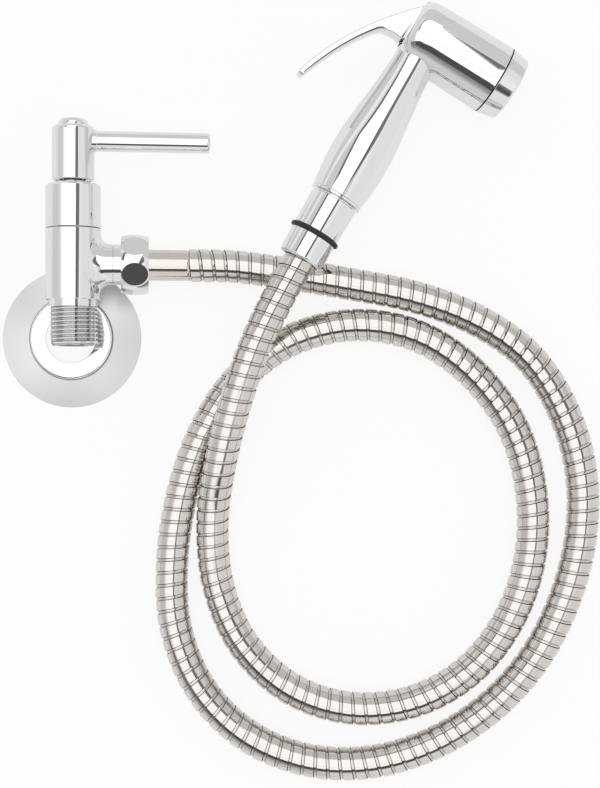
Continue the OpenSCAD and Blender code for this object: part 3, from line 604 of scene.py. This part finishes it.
def settled(piece):
    """Moves the object's own place into its mesh."""
    piece.data.transform(piece.matrix_world)
    piece.matrix_world = Matrix.Identity(4)
    return piece


def placed(piece, matrix):
    piece.data.transform(matrix)
    return piece


def bezier(a, b, c, d, count):
    """Points along the curve that leaves a towards b and reaches d from c."""
    points = [Vector(p) for p in (a, b, c, d)]
    out = []
    for i in range(count + 1):
        t = i / count
        u = 1 - t
        weights = (u**3, 3 * u * u * t, 3 * u * t * t, t**3)
        out.append(tuple(sum((w * p for w, p in zip(weights, points)), Vector((0, 0)))))
    return out


def arc(centre, radius, start, end, count):
    """Points round the centre from one angle to the other, in degrees."""
    angles = [math.radians(start + (end - start) * i / count) for i in range(count + 1)]
    return [(centre[0] + radius * math.cos(a), centre[1] + radius * math.sin(a)) for a in angles]


def lathe(name, stations, hollow=False, segments=96):
    """Turns a piece round Z: a ring at the first (radius, height), extruded and resized to each next one."""
    nothing_selected()
    radius, height = stations[0]
    foot = (0, 0, height * MM)
    bpy.ops.mesh.primitive_circle_add(vertices=segments, radius=radius * MM, location=foot)
    piece = bpy.context.object
    piece.name = name
    bpy.ops.object.mode_set(mode="EDIT")
    bpy.ops.mesh.select_all(action="SELECT")
    for (from_r, from_z), (to_r, to_z) in zip(stations, stations[1:]):
        bpy.ops.mesh.extrude_region_move(TRANSFORM_OT_translate={"value": (0, 0, (to_z - from_z) * MM)})
        scale = to_r / from_r
        bpy.ops.transform.resize(value=(scale, scale, 1), center_override=(0, 0, to_z * MM))
    if hollow:
        bm = bmesh.from_edit_mesh(piece.data)
        for edge in bm.edges:
            edge.select = edge.is_boundary
        bmesh.update_edit_mesh(piece.data)
        bpy.ops.mesh.bridge_edge_loops()
    else:
        bpy.ops.mesh.select_all(action="SELECT")
        bpy.ops.mesh.fill_holes(sides=0)
    bpy.ops.mesh.select_all(action="SELECT")
    bpy.ops.mesh.normals_make_consistent(inside=False)
    bpy.ops.object.mode_set(mode="OBJECT")
    return settled(piece)


def wind_up(outline, turns, steps, rise):
    """Winds a closed outline up round Z by so many turns, in steps each, and closes both ends."""
    wind = outline.modifiers.new("wind", "SCREW")
    wind.steps = wind.render_steps = steps
    wind.screw_offset = rise * MM
    wind.iterations = turns
    only(outline)
    bpy.ops.object.modifier_apply(modifier=wind.name)
    bpy.ops.object.mode_set(mode="EDIT")
    bpy.ops.mesh.select_all(action="SELECT")
    bpy.ops.mesh.remove_doubles(threshold=1e-6)
    bpy.ops.mesh.fill_holes(sides=0)
    bpy.ops.mesh.select_all(action="SELECT")
    bpy.ops.mesh.normals_make_consistent(inside=False)
    bpy.ops.object.mode_set(mode="OBJECT")
    return outline


def soften(piece, width, segments=3, angle=25):
    """Rounds the piece's sharp edges."""
    only(piece)
    edges = piece.modifiers.new("edges", "BEVEL")
    edges.width = width * MM
    edges.segments = segments
    edges.limit_method = "ANGLE"
    edges.angle_limit = math.radians(angle)
    bpy.ops.object.modifier_apply(modifier=edges.name)
    return piece


def carve(piece, other, operation):
    """Joins the other solid to the piece, cuts it out or keeps what both hold, and drops the other."""
    only(piece)
    cut = piece.modifiers.new("carve", "BOOLEAN")
    cut.operation = operation
    cut.solver = "EXACT"
    cut.object = other
    bpy.ops.object.modifier_apply(modifier=cut.name)
    bpy.data.objects.remove(other)
    return piece


def joined(piece, other):
    """Makes one object of both, without merging their solids."""
    only(piece)
    other.select_set(True)
    bpy.ops.object.join()
    return piece


def finished(piece, body, slot, material, *stands_for, crease=30):
    """Gives a piece its finish and its body, and hides the CAD nodes that it stands for."""
    only(piece)
    bpy.ops.object.shade_smooth_by_angle(angle=math.radians(crease))
    piece.data.materials.clear()
    piece.data.materials.append(material)
    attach(piece, body)
    if stands_for:
        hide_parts(*stands_for)
    return piece


# ------------------------------------------------------------------ hose pieces
hose = finished(
    wound_hose("ribbed_hose"), "valve_and_hose", "hose_steel", HOSE_STEEL, "metal_hose", crease=24
)
tube = finished(
    inner_tube("hose_inner_tube"), "valve_and_hose", "liner", LINER, "hose_liner", crease=60
)
tube_end = hose_end + TUBE_AFTER * handset_dir
tuple(tube_end * MM)

# ------------------------------------------------------------------ wall flange
FLANGE_HIGH = 4.2
FLANGE_SHEET = 0.8
RIM_HIGH = 0.9
STEP_LOW = 2.6
flange = lathe("flange", [
    (FLANGE_R, 0), (FLANGE_R, RIM_HIGH), (STEP_R + 0.5, STEP_LOW), (STEP_R - 0.1, FLANGE_HIGH - 0.3),
    (STEP_R - 0.8, FLANGE_HIGH), (HOLE_R, FLANGE_HIGH), (HOLE_R, FLANGE_HIGH - FLANGE_SHEET),
    (STEP_R - 1.2, FLANGE_HIGH - FLANGE_SHEET), (STEP_R - 0.8, STEP_LOW - FLANGE_SHEET),
    (FLANGE_R - FLANGE_SHEET, 0),
], hollow=True, segments=160)
soften(flange, 0.22, 3, 18)
finished(placed(flange, ON_TABLE), "valve_and_hose", "flange_steel", SHEET, "wall_flange")

# ------------------------------------------------------------------ valve
INLET_END = -34.55
THREAD_END = -18.05
BODY_LOW = -15.05
BODY_HIGH = 15.05
BODY_R = 11.65
THREAD_R = 10.4775
CORE_R = 9.32
RELIEF_R = 10.3
THREAD_PITCH = 1.814
INLET_CHAMFER = 1.8
OUTLET_R = 8.6
OUTLET_THREAD = 20.5
FOOT_UP = 4.6
FOOT_OUT = 4.6
FOOT_LOW = 4
FOOT_RINGS = 10
INLET_BORE_R = 6.5
OUTLET_BORE_R = 5.5
CHAMBER_R = 8.6
CHAMBER_LOW = -6.95


def pipe_thread(name):
    """The half-inch thread: a ridge wound round the inlet, its foot inside the core."""
    nothing_selected()
    bpy.ops.mesh.primitive_circle_add(vertices=6, radius=MM)
    ridge = bpy.context.object
    ridge.name = name
    rising = [(9.15, -0.80), (10.34, -0.20), (THREAD_R, -0.09)]
    shape = [*rising, *((radius, -height) for radius, height in rising[::-1])]
    for vertex, (radius, height) in zip(ridge.data.vertices, shape):
        vertex.co = Vector((radius, 0, INLET_END + height)) * MM
    wind_up(ridge, 10, 72, THREAD_PITCH)
    for vertex in ridge.data.vertices:
        x, y, z = vertex.co / MM
        radius = math.hypot(x, y)
        chamfer = THREAD_R - INLET_CHAMFER + (z - INLET_END)
        run_out = RELIEF_R - 0.25 + 1.2 * max(0, THREAD_END - z)
        limit = min(chamfer, run_out)
        if z > THREAD_END + 1:
            limit = CORE_R - 0.2
        if radius > limit:
            vertex.co.x *= limit / radius
            vertex.co.y *= limit / radius
        vertex.co.z = min(max(vertex.co.z, (INLET_END + 0.02) * MM), (THREAD_END + 1.5) * MM)
    return ridge


def outlet_with_foot(name):
    """The outlet. Its first rings run off the body's round side and ease into the outlet."""
    piece = lathe(name, [
        (6, 3.0), (OUTLET_R, 3.5), *((OUTLET_R, FOOT_LOW + k) for k in range(FOOT_RINGS + 1)),
        (OUTLET_R, 16.55), (OUTLET_R - 0.25, 16.8), (OUTLET_R, 17.05),
        (OUTLET_R, OUTLET_THREAD), (THREAD_R, OUTLET_THREAD), (THREAD_R, 26.5),
    ], segments=128)
    for vertex in piece.data.vertices:
        x, y, z = vertex.co / MM
        if not FOOT_LOW - 0.8 < z < FOOT_LOW + FOOT_RINGS + 0.2:
            continue
        rise, side = Vector((x, y)).normalized()
        corner = Vector((OUTLET_R * rise, OUTLET_R * side, math.sqrt(BODY_R**2 - (OUTLET_R * rise) ** 2)))
        angle = math.asin(OUTLET_R * rise / BODY_R) + FOOT_UP * rise / BODY_R
        skin = BODY_R + 0.03 if z > FOOT_LOW - 0.2 else BODY_R - 0.6
        on_body = Vector((skin * math.sin(angle), (OUTLET_R + FOOT_UP) * side, skin * math.cos(angle)))
        t = max(0, (z - FOOT_LOW) / FOOT_RINGS)
        along = corner + Vector((0, 0, FOOT_OUT))
        vertex.co = ((1 - t) ** 2 * on_body + 2 * t * (1 - t) * corner + t * t * along) * MM
    return piece


def valve_body():
    """The casting, its inlet thread, its outlet and its water way. Short rings keep its shading even."""
    body = lathe("valve_casting", [
        (THREAD_R - INLET_CHAMFER, INLET_END), (CORE_R, INLET_END + 0.66), (CORE_R, THREAD_END),
        (RELIEF_R, THREAD_END), (RELIEF_R, BODY_LOW), (BODY_R - 0.2, BODY_LOW), (BODY_R, BODY_LOW + 0.2),
        *((BODY_R, BODY_LOW + 1 + k) for k in range(29)),
        (BODY_R, BODY_HIGH - 0.4), (BODY_R - 0.25, BODY_HIGH),
    ], segments=128)
    carve(placed(body, ALONG_VALVE), placed(outlet_with_foot("outlet"), ALONG_OUTLET), "UNION")
    bore = lathe("bore", [
        (INLET_BORE_R, INLET_END - 1), (INLET_BORE_R, CHAMBER_LOW),
        (CHAMBER_R, CHAMBER_LOW), (CHAMBER_R, BODY_HIGH + 1),
    ])
    carve(body, placed(bore, ALONG_VALVE), "DIFFERENCE")
    way = lathe("water way", [(OUTLET_BORE_R, 0), (OUTLET_BORE_R, 28)], segments=64)
    carve(body, placed(way, ALONG_OUTLET), "DIFFERENCE")
    return joined(body, placed(pipe_thread("ridge"), ALONG_VALVE))


finished(valve_body(), "valve_and_hose", "chrome", CHROME, "valve_body", crease=20)

BONNET_LOW = 15.1
BONNET_HIGH = 33.8
BONNET_BORE_R = 10.35
BONNET_TOP = 2.2
NECK_BORE_R = 6.35
bonnet = lathe("bonnet_sleeve", [
    (BONNET_BORE_R, BONNET_LOW), (BODY_R - 0.25, BONNET_LOW), (BODY_R, BONNET_LOW + 0.3),
    (BODY_R, BONNET_HIGH - 1), (BODY_R - 1, BONNET_HIGH), (NECK_BORE_R, BONNET_HIGH),
    (NECK_BORE_R, BONNET_HIGH - BONNET_TOP), (BONNET_BORE_R, BONNET_HIGH - BONNET_TOP),
], hollow=True, segments=128)
finished(placed(bonnet, ALONG_VALVE), "valve_and_hose", "chrome", CHROME, "bonnet")

# ------------------------------------------------------------------ lever
HUB_LOW = 35.4
HUB_HIGH = 58.5
HUB_R = 8.95
HUB_ROUND = 1.5
RECESS_R = 7.35
RECESS_DEEP = 1.6
SPINDLE_BORE_R = 4.05
SCREW_HOLE_R = 1.8
SCREW_LOW = 46.9
SCREW_HIGH = 48.5
CAP_BORE_R = 3.9
hub = lathe("hub", [
    (SPINDLE_BORE_R, HUB_LOW + RECESS_DEEP), (RECESS_R, HUB_LOW + RECESS_DEEP), (RECESS_R, HUB_LOW),
    (HUB_R - 0.4, HUB_LOW), (HUB_R, HUB_LOW + 0.4), (HUB_R, HUB_HIGH - 2),
    *arc((HUB_R - HUB_ROUND, HUB_HIGH - HUB_ROUND), HUB_ROUND, 0, 90, 8),
    (CAP_BORE_R, HUB_HIGH), (CAP_BORE_R, SCREW_HIGH), (SCREW_HOLE_R, SCREW_HIGH),
    (SCREW_HOLE_R, SCREW_LOW), (SPINDLE_BORE_R, SCREW_LOW),
], hollow=True, segments=128)
finished(placed(hub, ALONG_VALVE), "lever", "chrome", CHROME, "lever_hub")

CAP_R = 6.4
CAP_ROUND = 2.4
CAP_TOP = 62.0
CAP_STEM_R = 3.85
CAP_SEAT = HUB_HIGH + 0.02
cap = lathe("cap", [
    (CAP_STEM_R, 54.5), (CAP_STEM_R, CAP_SEAT), (CAP_R, CAP_SEAT),
    *arc((CAP_R - CAP_ROUND, CAP_SEAT + 0.88), CAP_ROUND, 0, 68, 8),
    (3.6, CAP_TOP - 0.18), (2.2, CAP_TOP - 0.05), (0.9, CAP_TOP), (0.05, CAP_TOP),
], segments=96)
finished(placed(cap, ALONG_VALVE), "lever", "chrome", CHROME, "hub_cap")

ROD_R = 4.3
ROD_END = 58
ROD_ROUND = 1.2
SHANK_R = 2.45
COLLAR_R = 4.7
COLLAR_LOW = 8.0
COLLAR_HIGH = 10.0
rod = lathe("rod", [
    (SHANK_R, 4.9), (SHANK_R, COLLAR_LOW), (COLLAR_R, COLLAR_LOW), (COLLAR_R, COLLAR_HIGH - 0.2),
    (COLLAR_R - 0.2, COLLAR_HIGH), (ROD_R, COLLAR_HIGH), (ROD_R, ROD_END - 1.7),
    (ROD_R, ROD_END - ROD_ROUND), *arc((ROD_R - ROD_ROUND, ROD_END - ROD_ROUND), ROD_ROUND, 10, 90, 8),
    (0.05, ROD_END),
], segments=96)
finished(placed(rod, ALONG_ROD), "lever", "chrome", CHROME, "lever_rod")

# ------------------------------------------------------------------ hose nut and ferrule
NUT_BORE_R = 10.53
NUT_SEAT = 29.6
NUT_HOLE_R = 6.75


def hex_nut():
    """The nut: a hexagon whose corners are turned down to a barrel, with its bore."""
    nothing_selected()
    bpy.ops.mesh.primitive_cylinder_add(
        vertices=6, radius=NUT_FLATS / math.sqrt(3) * MM, depth=2 * NUT_HALF * MM,
        location=(0, 0, NUT_MID * MM),
    )
    nut = settled(bpy.context.object)
    nut.name = "nut"
    placed(nut, turn(90 - NUT_TURN, "Z"))
    sweep = math.degrees(math.asin(NUT_HALF / NUT_ROUND))
    blank = lathe("blank", arc((NUT_CENTRE_R, NUT_MID), NUT_ROUND, -sweep, sweep, 28), segments=192)
    carve(nut, blank, "INTERSECT")
    bore = lathe("nut bore", [
        (NUT_BORE_R, NUT_X - 1), (NUT_BORE_R, NUT_SEAT), (NUT_HOLE_R, NUT_SEAT), (NUT_HOLE_R, NUT_HIGH + 1),
    ])
    return carve(nut, bore, "DIFFERENCE")


finished(placed(hex_nut(), ALONG_OUTLET), "valve_and_hose", "chrome", CHROME, "hose_nut", crease=6)

FERRULE_LOW = 29.55
FERRULE_R = 6.55
FERRULE_BORE_R = 4.8
ferrule = lathe("ferrule", [
    (FERRULE_BORE_R, FERRULE_LOW), (FERRULE_R, FERRULE_LOW),
    (FERRULE_R, FERRULE_END - 1.2), (FERRULE_R, FERRULE_END - 0.8),
    (6.3, FERRULE_END - 0.1), (6.0, FERRULE_END), (FERRULE_BORE_R, FERRULE_END),
], hollow=True)
finished(placed(ferrule, ALONG_OUTLET), "valve_and_hose", "ferrule_steel", FERRULE_STEEL, "valve_ferrule")

# ------------------------------------------------------------------ handset inlet
CONE_LOW = 1.5
CONE_HIGH = 30.3
CONE_ROUND = 1.1
CONE_BORE_R = 8.43
CONE_SEAT = 14.6
CONE_HOLE_R = 7.5
RING_MID = 18
RING_FLOOR_R = 9.2
RING_R = 10.2
RING_WIRE_R = 0.95
RING_FLAT_R = 11.05
cone = lathe("cone", [
    (CONE_BORE_R, CONE_LOW), (9.9, CONE_LOW), (10.3, CONE_LOW + 0.4),
    (9.98, RING_MID - 1.6), (9.97, RING_MID - 1.2), (9.85, RING_MID - 1), (RING_FLOOR_R, RING_MID - 1),
    (RING_FLOOR_R, RING_MID + 1), (9.83, RING_MID + 1), (9.93, RING_MID + 1.2), (9.715, 28.6),
    *arc((8.6, CONE_HIGH - CONE_ROUND), CONE_ROUND, 0, 90, 8),
    (CONE_HOLE_R, CONE_HIGH), (CONE_HOLE_R, CONE_SEAT), (CONE_BORE_R, CONE_SEAT),
], hollow=True, segments=128)
finished(placed(cone, BELOW_HANDLE), "handset", "chrome", CHROME_SOFT, "cone_nut", crease=20)

WATER_R = 4.5
SPIGOT_R = 7.9
SPIGOT_END = -9
RIM_R = 11.35
RIM_BACK = -0.4
RIM_FRONT = 0.6
SOCKET_R = 8.33
SOCKET_END = 11
connector = lathe("connector", [
    (WATER_R, SPIGOT_END), (SPIGOT_R, SPIGOT_END), (SPIGOT_R, RIM_BACK), (RIM_R, RIM_BACK),
    (RIM_R, RIM_FRONT), (SOCKET_R, RIM_FRONT), (SOCKET_R, SOCKET_END), (WATER_R, SOCKET_END),
], hollow=True, segments=128)
soften(connector, 0.15)
finished(placed(connector, BELOW_HANDLE), "handset", "chrome", CHROME_SOFT, "inlet_connector")


def rubber_ring():
    """The black ring round the cone nut, its outer side flat."""
    nothing_selected()
    bpy.ops.mesh.primitive_torus_add(
        major_radius=RING_R * MM, minor_radius=RING_WIRE_R * MM, major_segments=96, minor_segments=24,
        location=(0, 0, RING_MID * MM),
    )
    ring = settled(bpy.context.object)
    ring.name = "ring"
    for vertex in ring.data.vertices:
        radius = math.hypot(vertex.co.x, vertex.co.y)
        flat = min(radius, RING_FLAT_R * MM) / radius
        vertex.co.x *= flat
        vertex.co.y *= flat
    return ring


finished(placed(rubber_ring(), BELOW_HANDLE), "handset", "rubber", RUBBER, "cone_ring", crease=60)

# ------------------------------------------------------------------ handset body
HEAD_BACK = -9.3
HEAD_FRONT = 33
HEAD_R = 14.54
HEAD_TAPER = 0.018
HANDLE_R = 12.8
NECK_R = 9.0
SLOT_X = (-24, -5)
SLOT_Z = (HEAD_Z - 9.3, HEAD_Z + 12.4)
SLOT_WIDE = 10.6
EYE_R = 3.1
EYE_ROOM = 0.39
EYE_PLACE = shift(-4, 0, HEAD_Z + 8.9) @ turn(90, "X")
IN_HEAD = shift(0, 0, HEAD_Z) @ turn(90, "Y")


def handset_body():
    """Handle and head in one, less the trigger's slot, the room for its eye, the water way and the cavity."""
    body = lathe("casting", [
        (10.9, 0.45), *bezier((11.2, 0.75), (11.95, 6), (HANDLE_R, 12), (HANDLE_R, 20), 14),
        *bezier((HANDLE_R, 20), (HANDLE_R, 33), (9.6, 48), (NECK_R, 64), 30)[1:], (NECK_R, 69.9),
    ], segments=160)
    head = lathe("head", [
        (0.05, HEAD_BACK), (5, HEAD_BACK),
        *bezier((8.0, HEAD_BACK + 0.1), (12.3, HEAD_BACK + 0.3), (14.0, -7.2), (14.3, -3.0), 22),
        (14.42, -1.5), *((HEAD_R + HEAD_TAPER * x, x) for x in range(0, HEAD_FRONT, 2)),
        (15.14, HEAD_FRONT - 0.25), (14.9, HEAD_FRONT),
    ], segments=160)
    carve(body, placed(head, IN_HEAD), "UNION")
    nothing_selected()
    bpy.ops.mesh.primitive_cube_add(
        size=1, location=(sum(SLOT_X) / 2 * MM, 0, sum(SLOT_Z) / 2 * MM),
        scale=((SLOT_X[1] - SLOT_X[0]) * MM, SLOT_WIDE * MM, (SLOT_Z[1] - SLOT_Z[0]) * MM),
    )
    carve(body, settled(bpy.context.object), "DIFFERENCE")
    room_r = EYE_R + EYE_ROOM
    room = lathe("room for the eye", [(room_r, -SLOT_WIDE / 2), (room_r, SLOT_WIDE / 2)], segments=64)
    carve(body, placed(room, EYE_PLACE), "DIFFERENCE")
    inside = lathe("inside", [(WATER_R, -1), (WATER_R, 58.6)], segments=48)
    carve(body, inside, "DIFFERENCE")
    cavity = lathe("cavity", [
        (9, 1.5), (9, 16), (10.9, 16), (10.9, 29.4), (13, 29.4), (13, HEAD_FRONT + 1),
    ])
    return carve(body, placed(cavity, IN_HEAD), "DIFFERENCE")


finished(placed(handset_body(), AT_HANDSET), "handset", "chrome", CHROME_SOFT, "handset_body", crease=22)

SPRAY_BACK = HEAD_FRONT + 0.4
SPRAY_FRONT = HEAD_FRONT + 8.6
SPRAY_ROUND = 1.2
SPRAY_LIP = 1.9
SPRAY_BORE_R = 11.5
SPRAY_MOUTH_R = 10.7
SPRAY_NECK_R = 12.95
SPRAY_NECK_BACK = 29.95
spray_ring = lathe("front_ring", [
    (SPRAY_BORE_R, SPRAY_NECK_BACK), (SPRAY_NECK_R, SPRAY_NECK_BACK), (SPRAY_NECK_R, SPRAY_BACK),
    (14.9, SPRAY_BACK), (15.1, SPRAY_BACK + 0.2), (14.0, SPRAY_FRONT - 1.7),
    *arc((12.7, SPRAY_FRONT - SPRAY_ROUND), SPRAY_ROUND, 8, 90, 8), (SPRAY_MOUTH_R, SPRAY_FRONT),
    (SPRAY_MOUTH_R, SPRAY_FRONT - SPRAY_LIP), (SPRAY_BORE_R, SPRAY_FRONT - SPRAY_LIP),
], hollow=True, segments=128)
finished(placed(spray_ring, ALONG_HEAD), "handset", "chrome", CHROME_SOFT, "spray_ring")

# ------------------------------------------------------------------ trigger
BLADE_HALF = 5.0
TIP_R = 1.4
TIP = (-38.85, 36.7)
TIP_FACES = 253
STEP_UP = Vector((0, 0, 0.1)) * MM


def trigger():
    """A slab extruded from the tip to the root. Its four corners move to the outline at each step."""
    back = bezier((-40.2, 36.9), (-34.6, 56.4), (-22.3, 73.6), (-8.9, 87.3), 36)
    front_low = bezier((-37.6, 36.1), (-33.4, 47.7), (-27.9, 58.9), (-20.3, 68.2), 24)
    front_high = bezier((-20.3, 68.2), (-18.4, 70.6), (-15, 71.2), (-9.8, 70.4), 12)
    sections = [
        (*arc(TIP, TIP_R, TIP_FACES - spread, TIP_FACES + spread, 1), half_width)
        for spread, half_width in ((14, 2.6), (38, 3.7), (62, 4.5))
    ]
    sections += [(outer, inner, BLADE_HALF) for outer, inner in zip(back, front_low + front_high[1:])]
    sections.append(((-7.9, 86.2), (-7.9, HEAD_Z - 5.4), BLADE_HALF))
    nothing_selected()
    bpy.ops.mesh.primitive_plane_add(size=2 * MM)
    blade = bpy.context.object
    blade.name = "blade"
    bpy.ops.object.mode_set(mode="EDIT")
    bpy.ops.mesh.select_all(action="SELECT")
    corners = [Vector((x, y, 0)) * MM - STEP_UP for x, y in ((-1, -1), (-1, 1), (1, 1), (1, -1))]
    for k, ((outer_x, outer_z), (inner_x, inner_z), half_width) in enumerate(sections):
        if k:
            bpy.ops.mesh.extrude_region_move(TRANSFORM_OT_translate={"value": STEP_UP})
        moved = [
            Vector((outer_x, -half_width, outer_z)) * MM, Vector((outer_x, half_width, outer_z)) * MM,
            Vector((inner_x, half_width, inner_z)) * MM, Vector((inner_x, -half_width, inner_z)) * MM,
        ]
        bm = bmesh.from_edit_mesh(blade.data)
        for vertex in [v for v in bm.verts if v.select]:
            nearest = min(range(4), key=lambda n: (corners[n] + STEP_UP - vertex.co).length)
            vertex.co = moved[nearest]
        bmesh.update_edit_mesh(blade.data)
        corners = moved
    bpy.ops.mesh.select_all(action="SELECT")
    bpy.ops.mesh.normals_make_consistent(inside=False)
    bpy.ops.object.mode_set(mode="OBJECT")
    soften(blade, 0.6, 4, 30)
    eye = lathe("eye", [(EYE_R, -BLADE_HALF), (EYE_R, BLADE_HALF)], segments=48)
    soften(eye, 0.3, 2)
    return joined(blade, placed(eye, EYE_PLACE))


finished(placed(trigger(), AT_HANDSET), "trigger", "chrome", CHROME_SOFT, "trigger")

# ------------------------------------------------------------------ return spring
SPRING_LOW = 21.65
SPRING_HIGH = 29.4
SPRING_R = 4.5
SPRING_WIRE = 1.0
SPRING_TURNS = 5


def wound_spring():
    """The spring: the wire's outline wound up round Z, both ends ground flat."""
    nothing_selected()
    bpy.ops.mesh.primitive_circle_add(
        vertices=12, radius=SPRING_WIRE / 2 * MM, location=(SPRING_R * MM, 0, (SPRING_LOW - 0.1) * MM),
        rotation=(math.pi / 2, 0, 0),
    )
    coil = settled(bpy.context.object)
    coil.name = "coil"
    wind_up(coil, SPRING_TURNS, 48, (SPRING_HIGH - SPRING_LOW + 0.2) / SPRING_TURNS)
    ground = lathe("ground ends", [(6, SPRING_LOW), (6, SPRING_HIGH)], segments=48)
    return carve(coil, ground, "INTERSECT")


spring = wound_spring()
finished(placed(spring, ALONG_HEAD), "handset", NODE_SLOT["return_spring"], STEEL, "return_spring", crease=40)
tuple(ALONG_HEAD.to_3x3() @ Vector((0, 0, 1)))
tuple(ALONG_HEAD @ Vector((0, 0, SPRING_HIGH * MM)))
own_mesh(spring)

# ------------------------------------------------------------------ floor and light
nothing_selected()
bpy.ops.mesh.primitive_plane_add(size=8, location=(0, 0, TABLE.z * MM))
floor = bpy.context.object
floor.name = "floor"
floor.data.materials.append(bpy.data.materials.new("white table"))
floor.data.materials[0].use_nodes = True
table_top = Graph(floor.data.materials[0].node_tree)
table_place = table_top.node("ShaderNodeTexCoord", {}, output="Object")
table_white = table_top.mix(table_top.noise(table_place, 3, 2), (0.94, 0.94, 0.945), (0.95, 0.95, 0.95))
matt = table_top.node("ShaderNodeBsdfDiffuse", {}, table_white)
lit = table_top.node("ShaderNodeEmission", {}, (1, 1, 1, 1), 1.0)
# The table gives off a share of its own light to these rays, so that it stays white
rays = ("Is Camera Ray", "Is Glossy Ray", "Is Transmission Ray")
seen, mirrored, looked_through = (table_top.node("ShaderNodeLightPath", {}, output=ray) for ray in rays)
share = (seen * 0.88).high(mirrored * 0.55).high(looked_through * 0.88)
table_top.node("ShaderNodeOutputMaterial", {}, table_top.node("ShaderNodeMixShader", {}, share, matt, lit))

# The studio's cards are seen as if from far away. For each unit that a ray rises, u is how far it leans
# to the right and v how far it leans away from the inlet
PANEL_LEFT = -0.52
PANEL_NEAR = -0.61
PANEL_FAR = 0.84
SHARP_FROM = 0.27
PANEL_LIGHT = 1.42
ROOM_LIGHT = 0.72

world = bpy.data.worlds.new("studio")
bpy.context.scene.world = world
world.use_nodes = True
studio = Graph(world.node_tree)
toward = studio.node("ShaderNodeTexCoord", {}, output="Generated")
dir_x, dir_y, dir_z = (studio.node("ShaderNodeSeparateXYZ", {}, toward, output=axis) for axis in "XYZ")
height = dir_z.high(0.02)
u = dir_x / height
v = dir_y / height
over_head = dir_z.above(0.0, 0.02)

# The bright panel overhead: its right edge slants, and its left edge is soft up to SHARP_FROM
right_of = u - (0.30 + 0.48 * v).high(0.24)
farther_up = v.above(SHARP_FROM, 0.06)
soft_left = u.above(-0.9, 0.85)
left_side = soft_left + (u.above(PANEL_LEFT, 0.03) - soft_left) * farther_up
panel = left_side * (1 - right_of.above(0, 0.03)) * v.between(PANEL_NEAR, PANEL_FAR, 0.04) * over_head
seam = v.between(-0.29, -0.22, 0.05) * u.between(-0.1, 0.25, 0.1)

# The dark gaps beside the panel, and a dark card to the left on the inlet's side
right_end = 1 - (u - (0.53 + v).low(0.72)).above(0, 0.06)
right_gap = right_of.above(0, 0.03) * right_end * v.between(-0.42, 0.58, 0.1)
outside = (PANEL_LEFT - u).high(v - PANEL_FAR)
left_gap = outside.between(0, 0.17, 0.05) * farther_up * (1 - u.above(-0.1, 0.2))
near_gap = v.above(-1.25, 0.4) * (1 - v.above(PANEL_NEAR, 0.03)) * u.between(-0.95, 0.55, 0.4)
below = -0.62 - v
dark_card = below.above(0, 0.1) * (1 - below.above(1.2, 2.4)) * (-0.16 - u).between(0, 2.2, 0.25)
gap = (0.8 * right_gap).high(0.78 * left_gap).high(0.88 * near_gap).high(0.72 * dark_card) * over_head

# The paler card to the right, its bright near strip, and a glow beyond the lever
lower_right = u.above(0.45, 0.06).high((-1.25 - v).above(0, 0.1) * u.above(-0.3, 0.3))
right_card = lower_right * (1 - v.above(0.6, 0.3)) * over_head
near_strip = right_card * (1 - u.above(0.8, 0.5)) * u.above(0.3, 0.1)
glow = v.between(1.15, 1.9, 0.4) * (1 - u.above(-0.4, 0.4)) * over_head
level = ROOM_LIGHT + right_card * 0.18 + near_strip * 0.12 + glow * 0.3
strength = (level + (PANEL_LIGHT - 0.3 * seam - level) * panel) * (1 - gap)

# The camera itself sees plain white
from_camera = studio.node("ShaderNodeLightPath", {}, output="Is Camera Ray")
background = studio.node("ShaderNodeBackground", {}, (1, 1, 1, 1), strength + (1 - strength) * from_camera)
studio.node("ShaderNodeOutputWorld", {}, background)
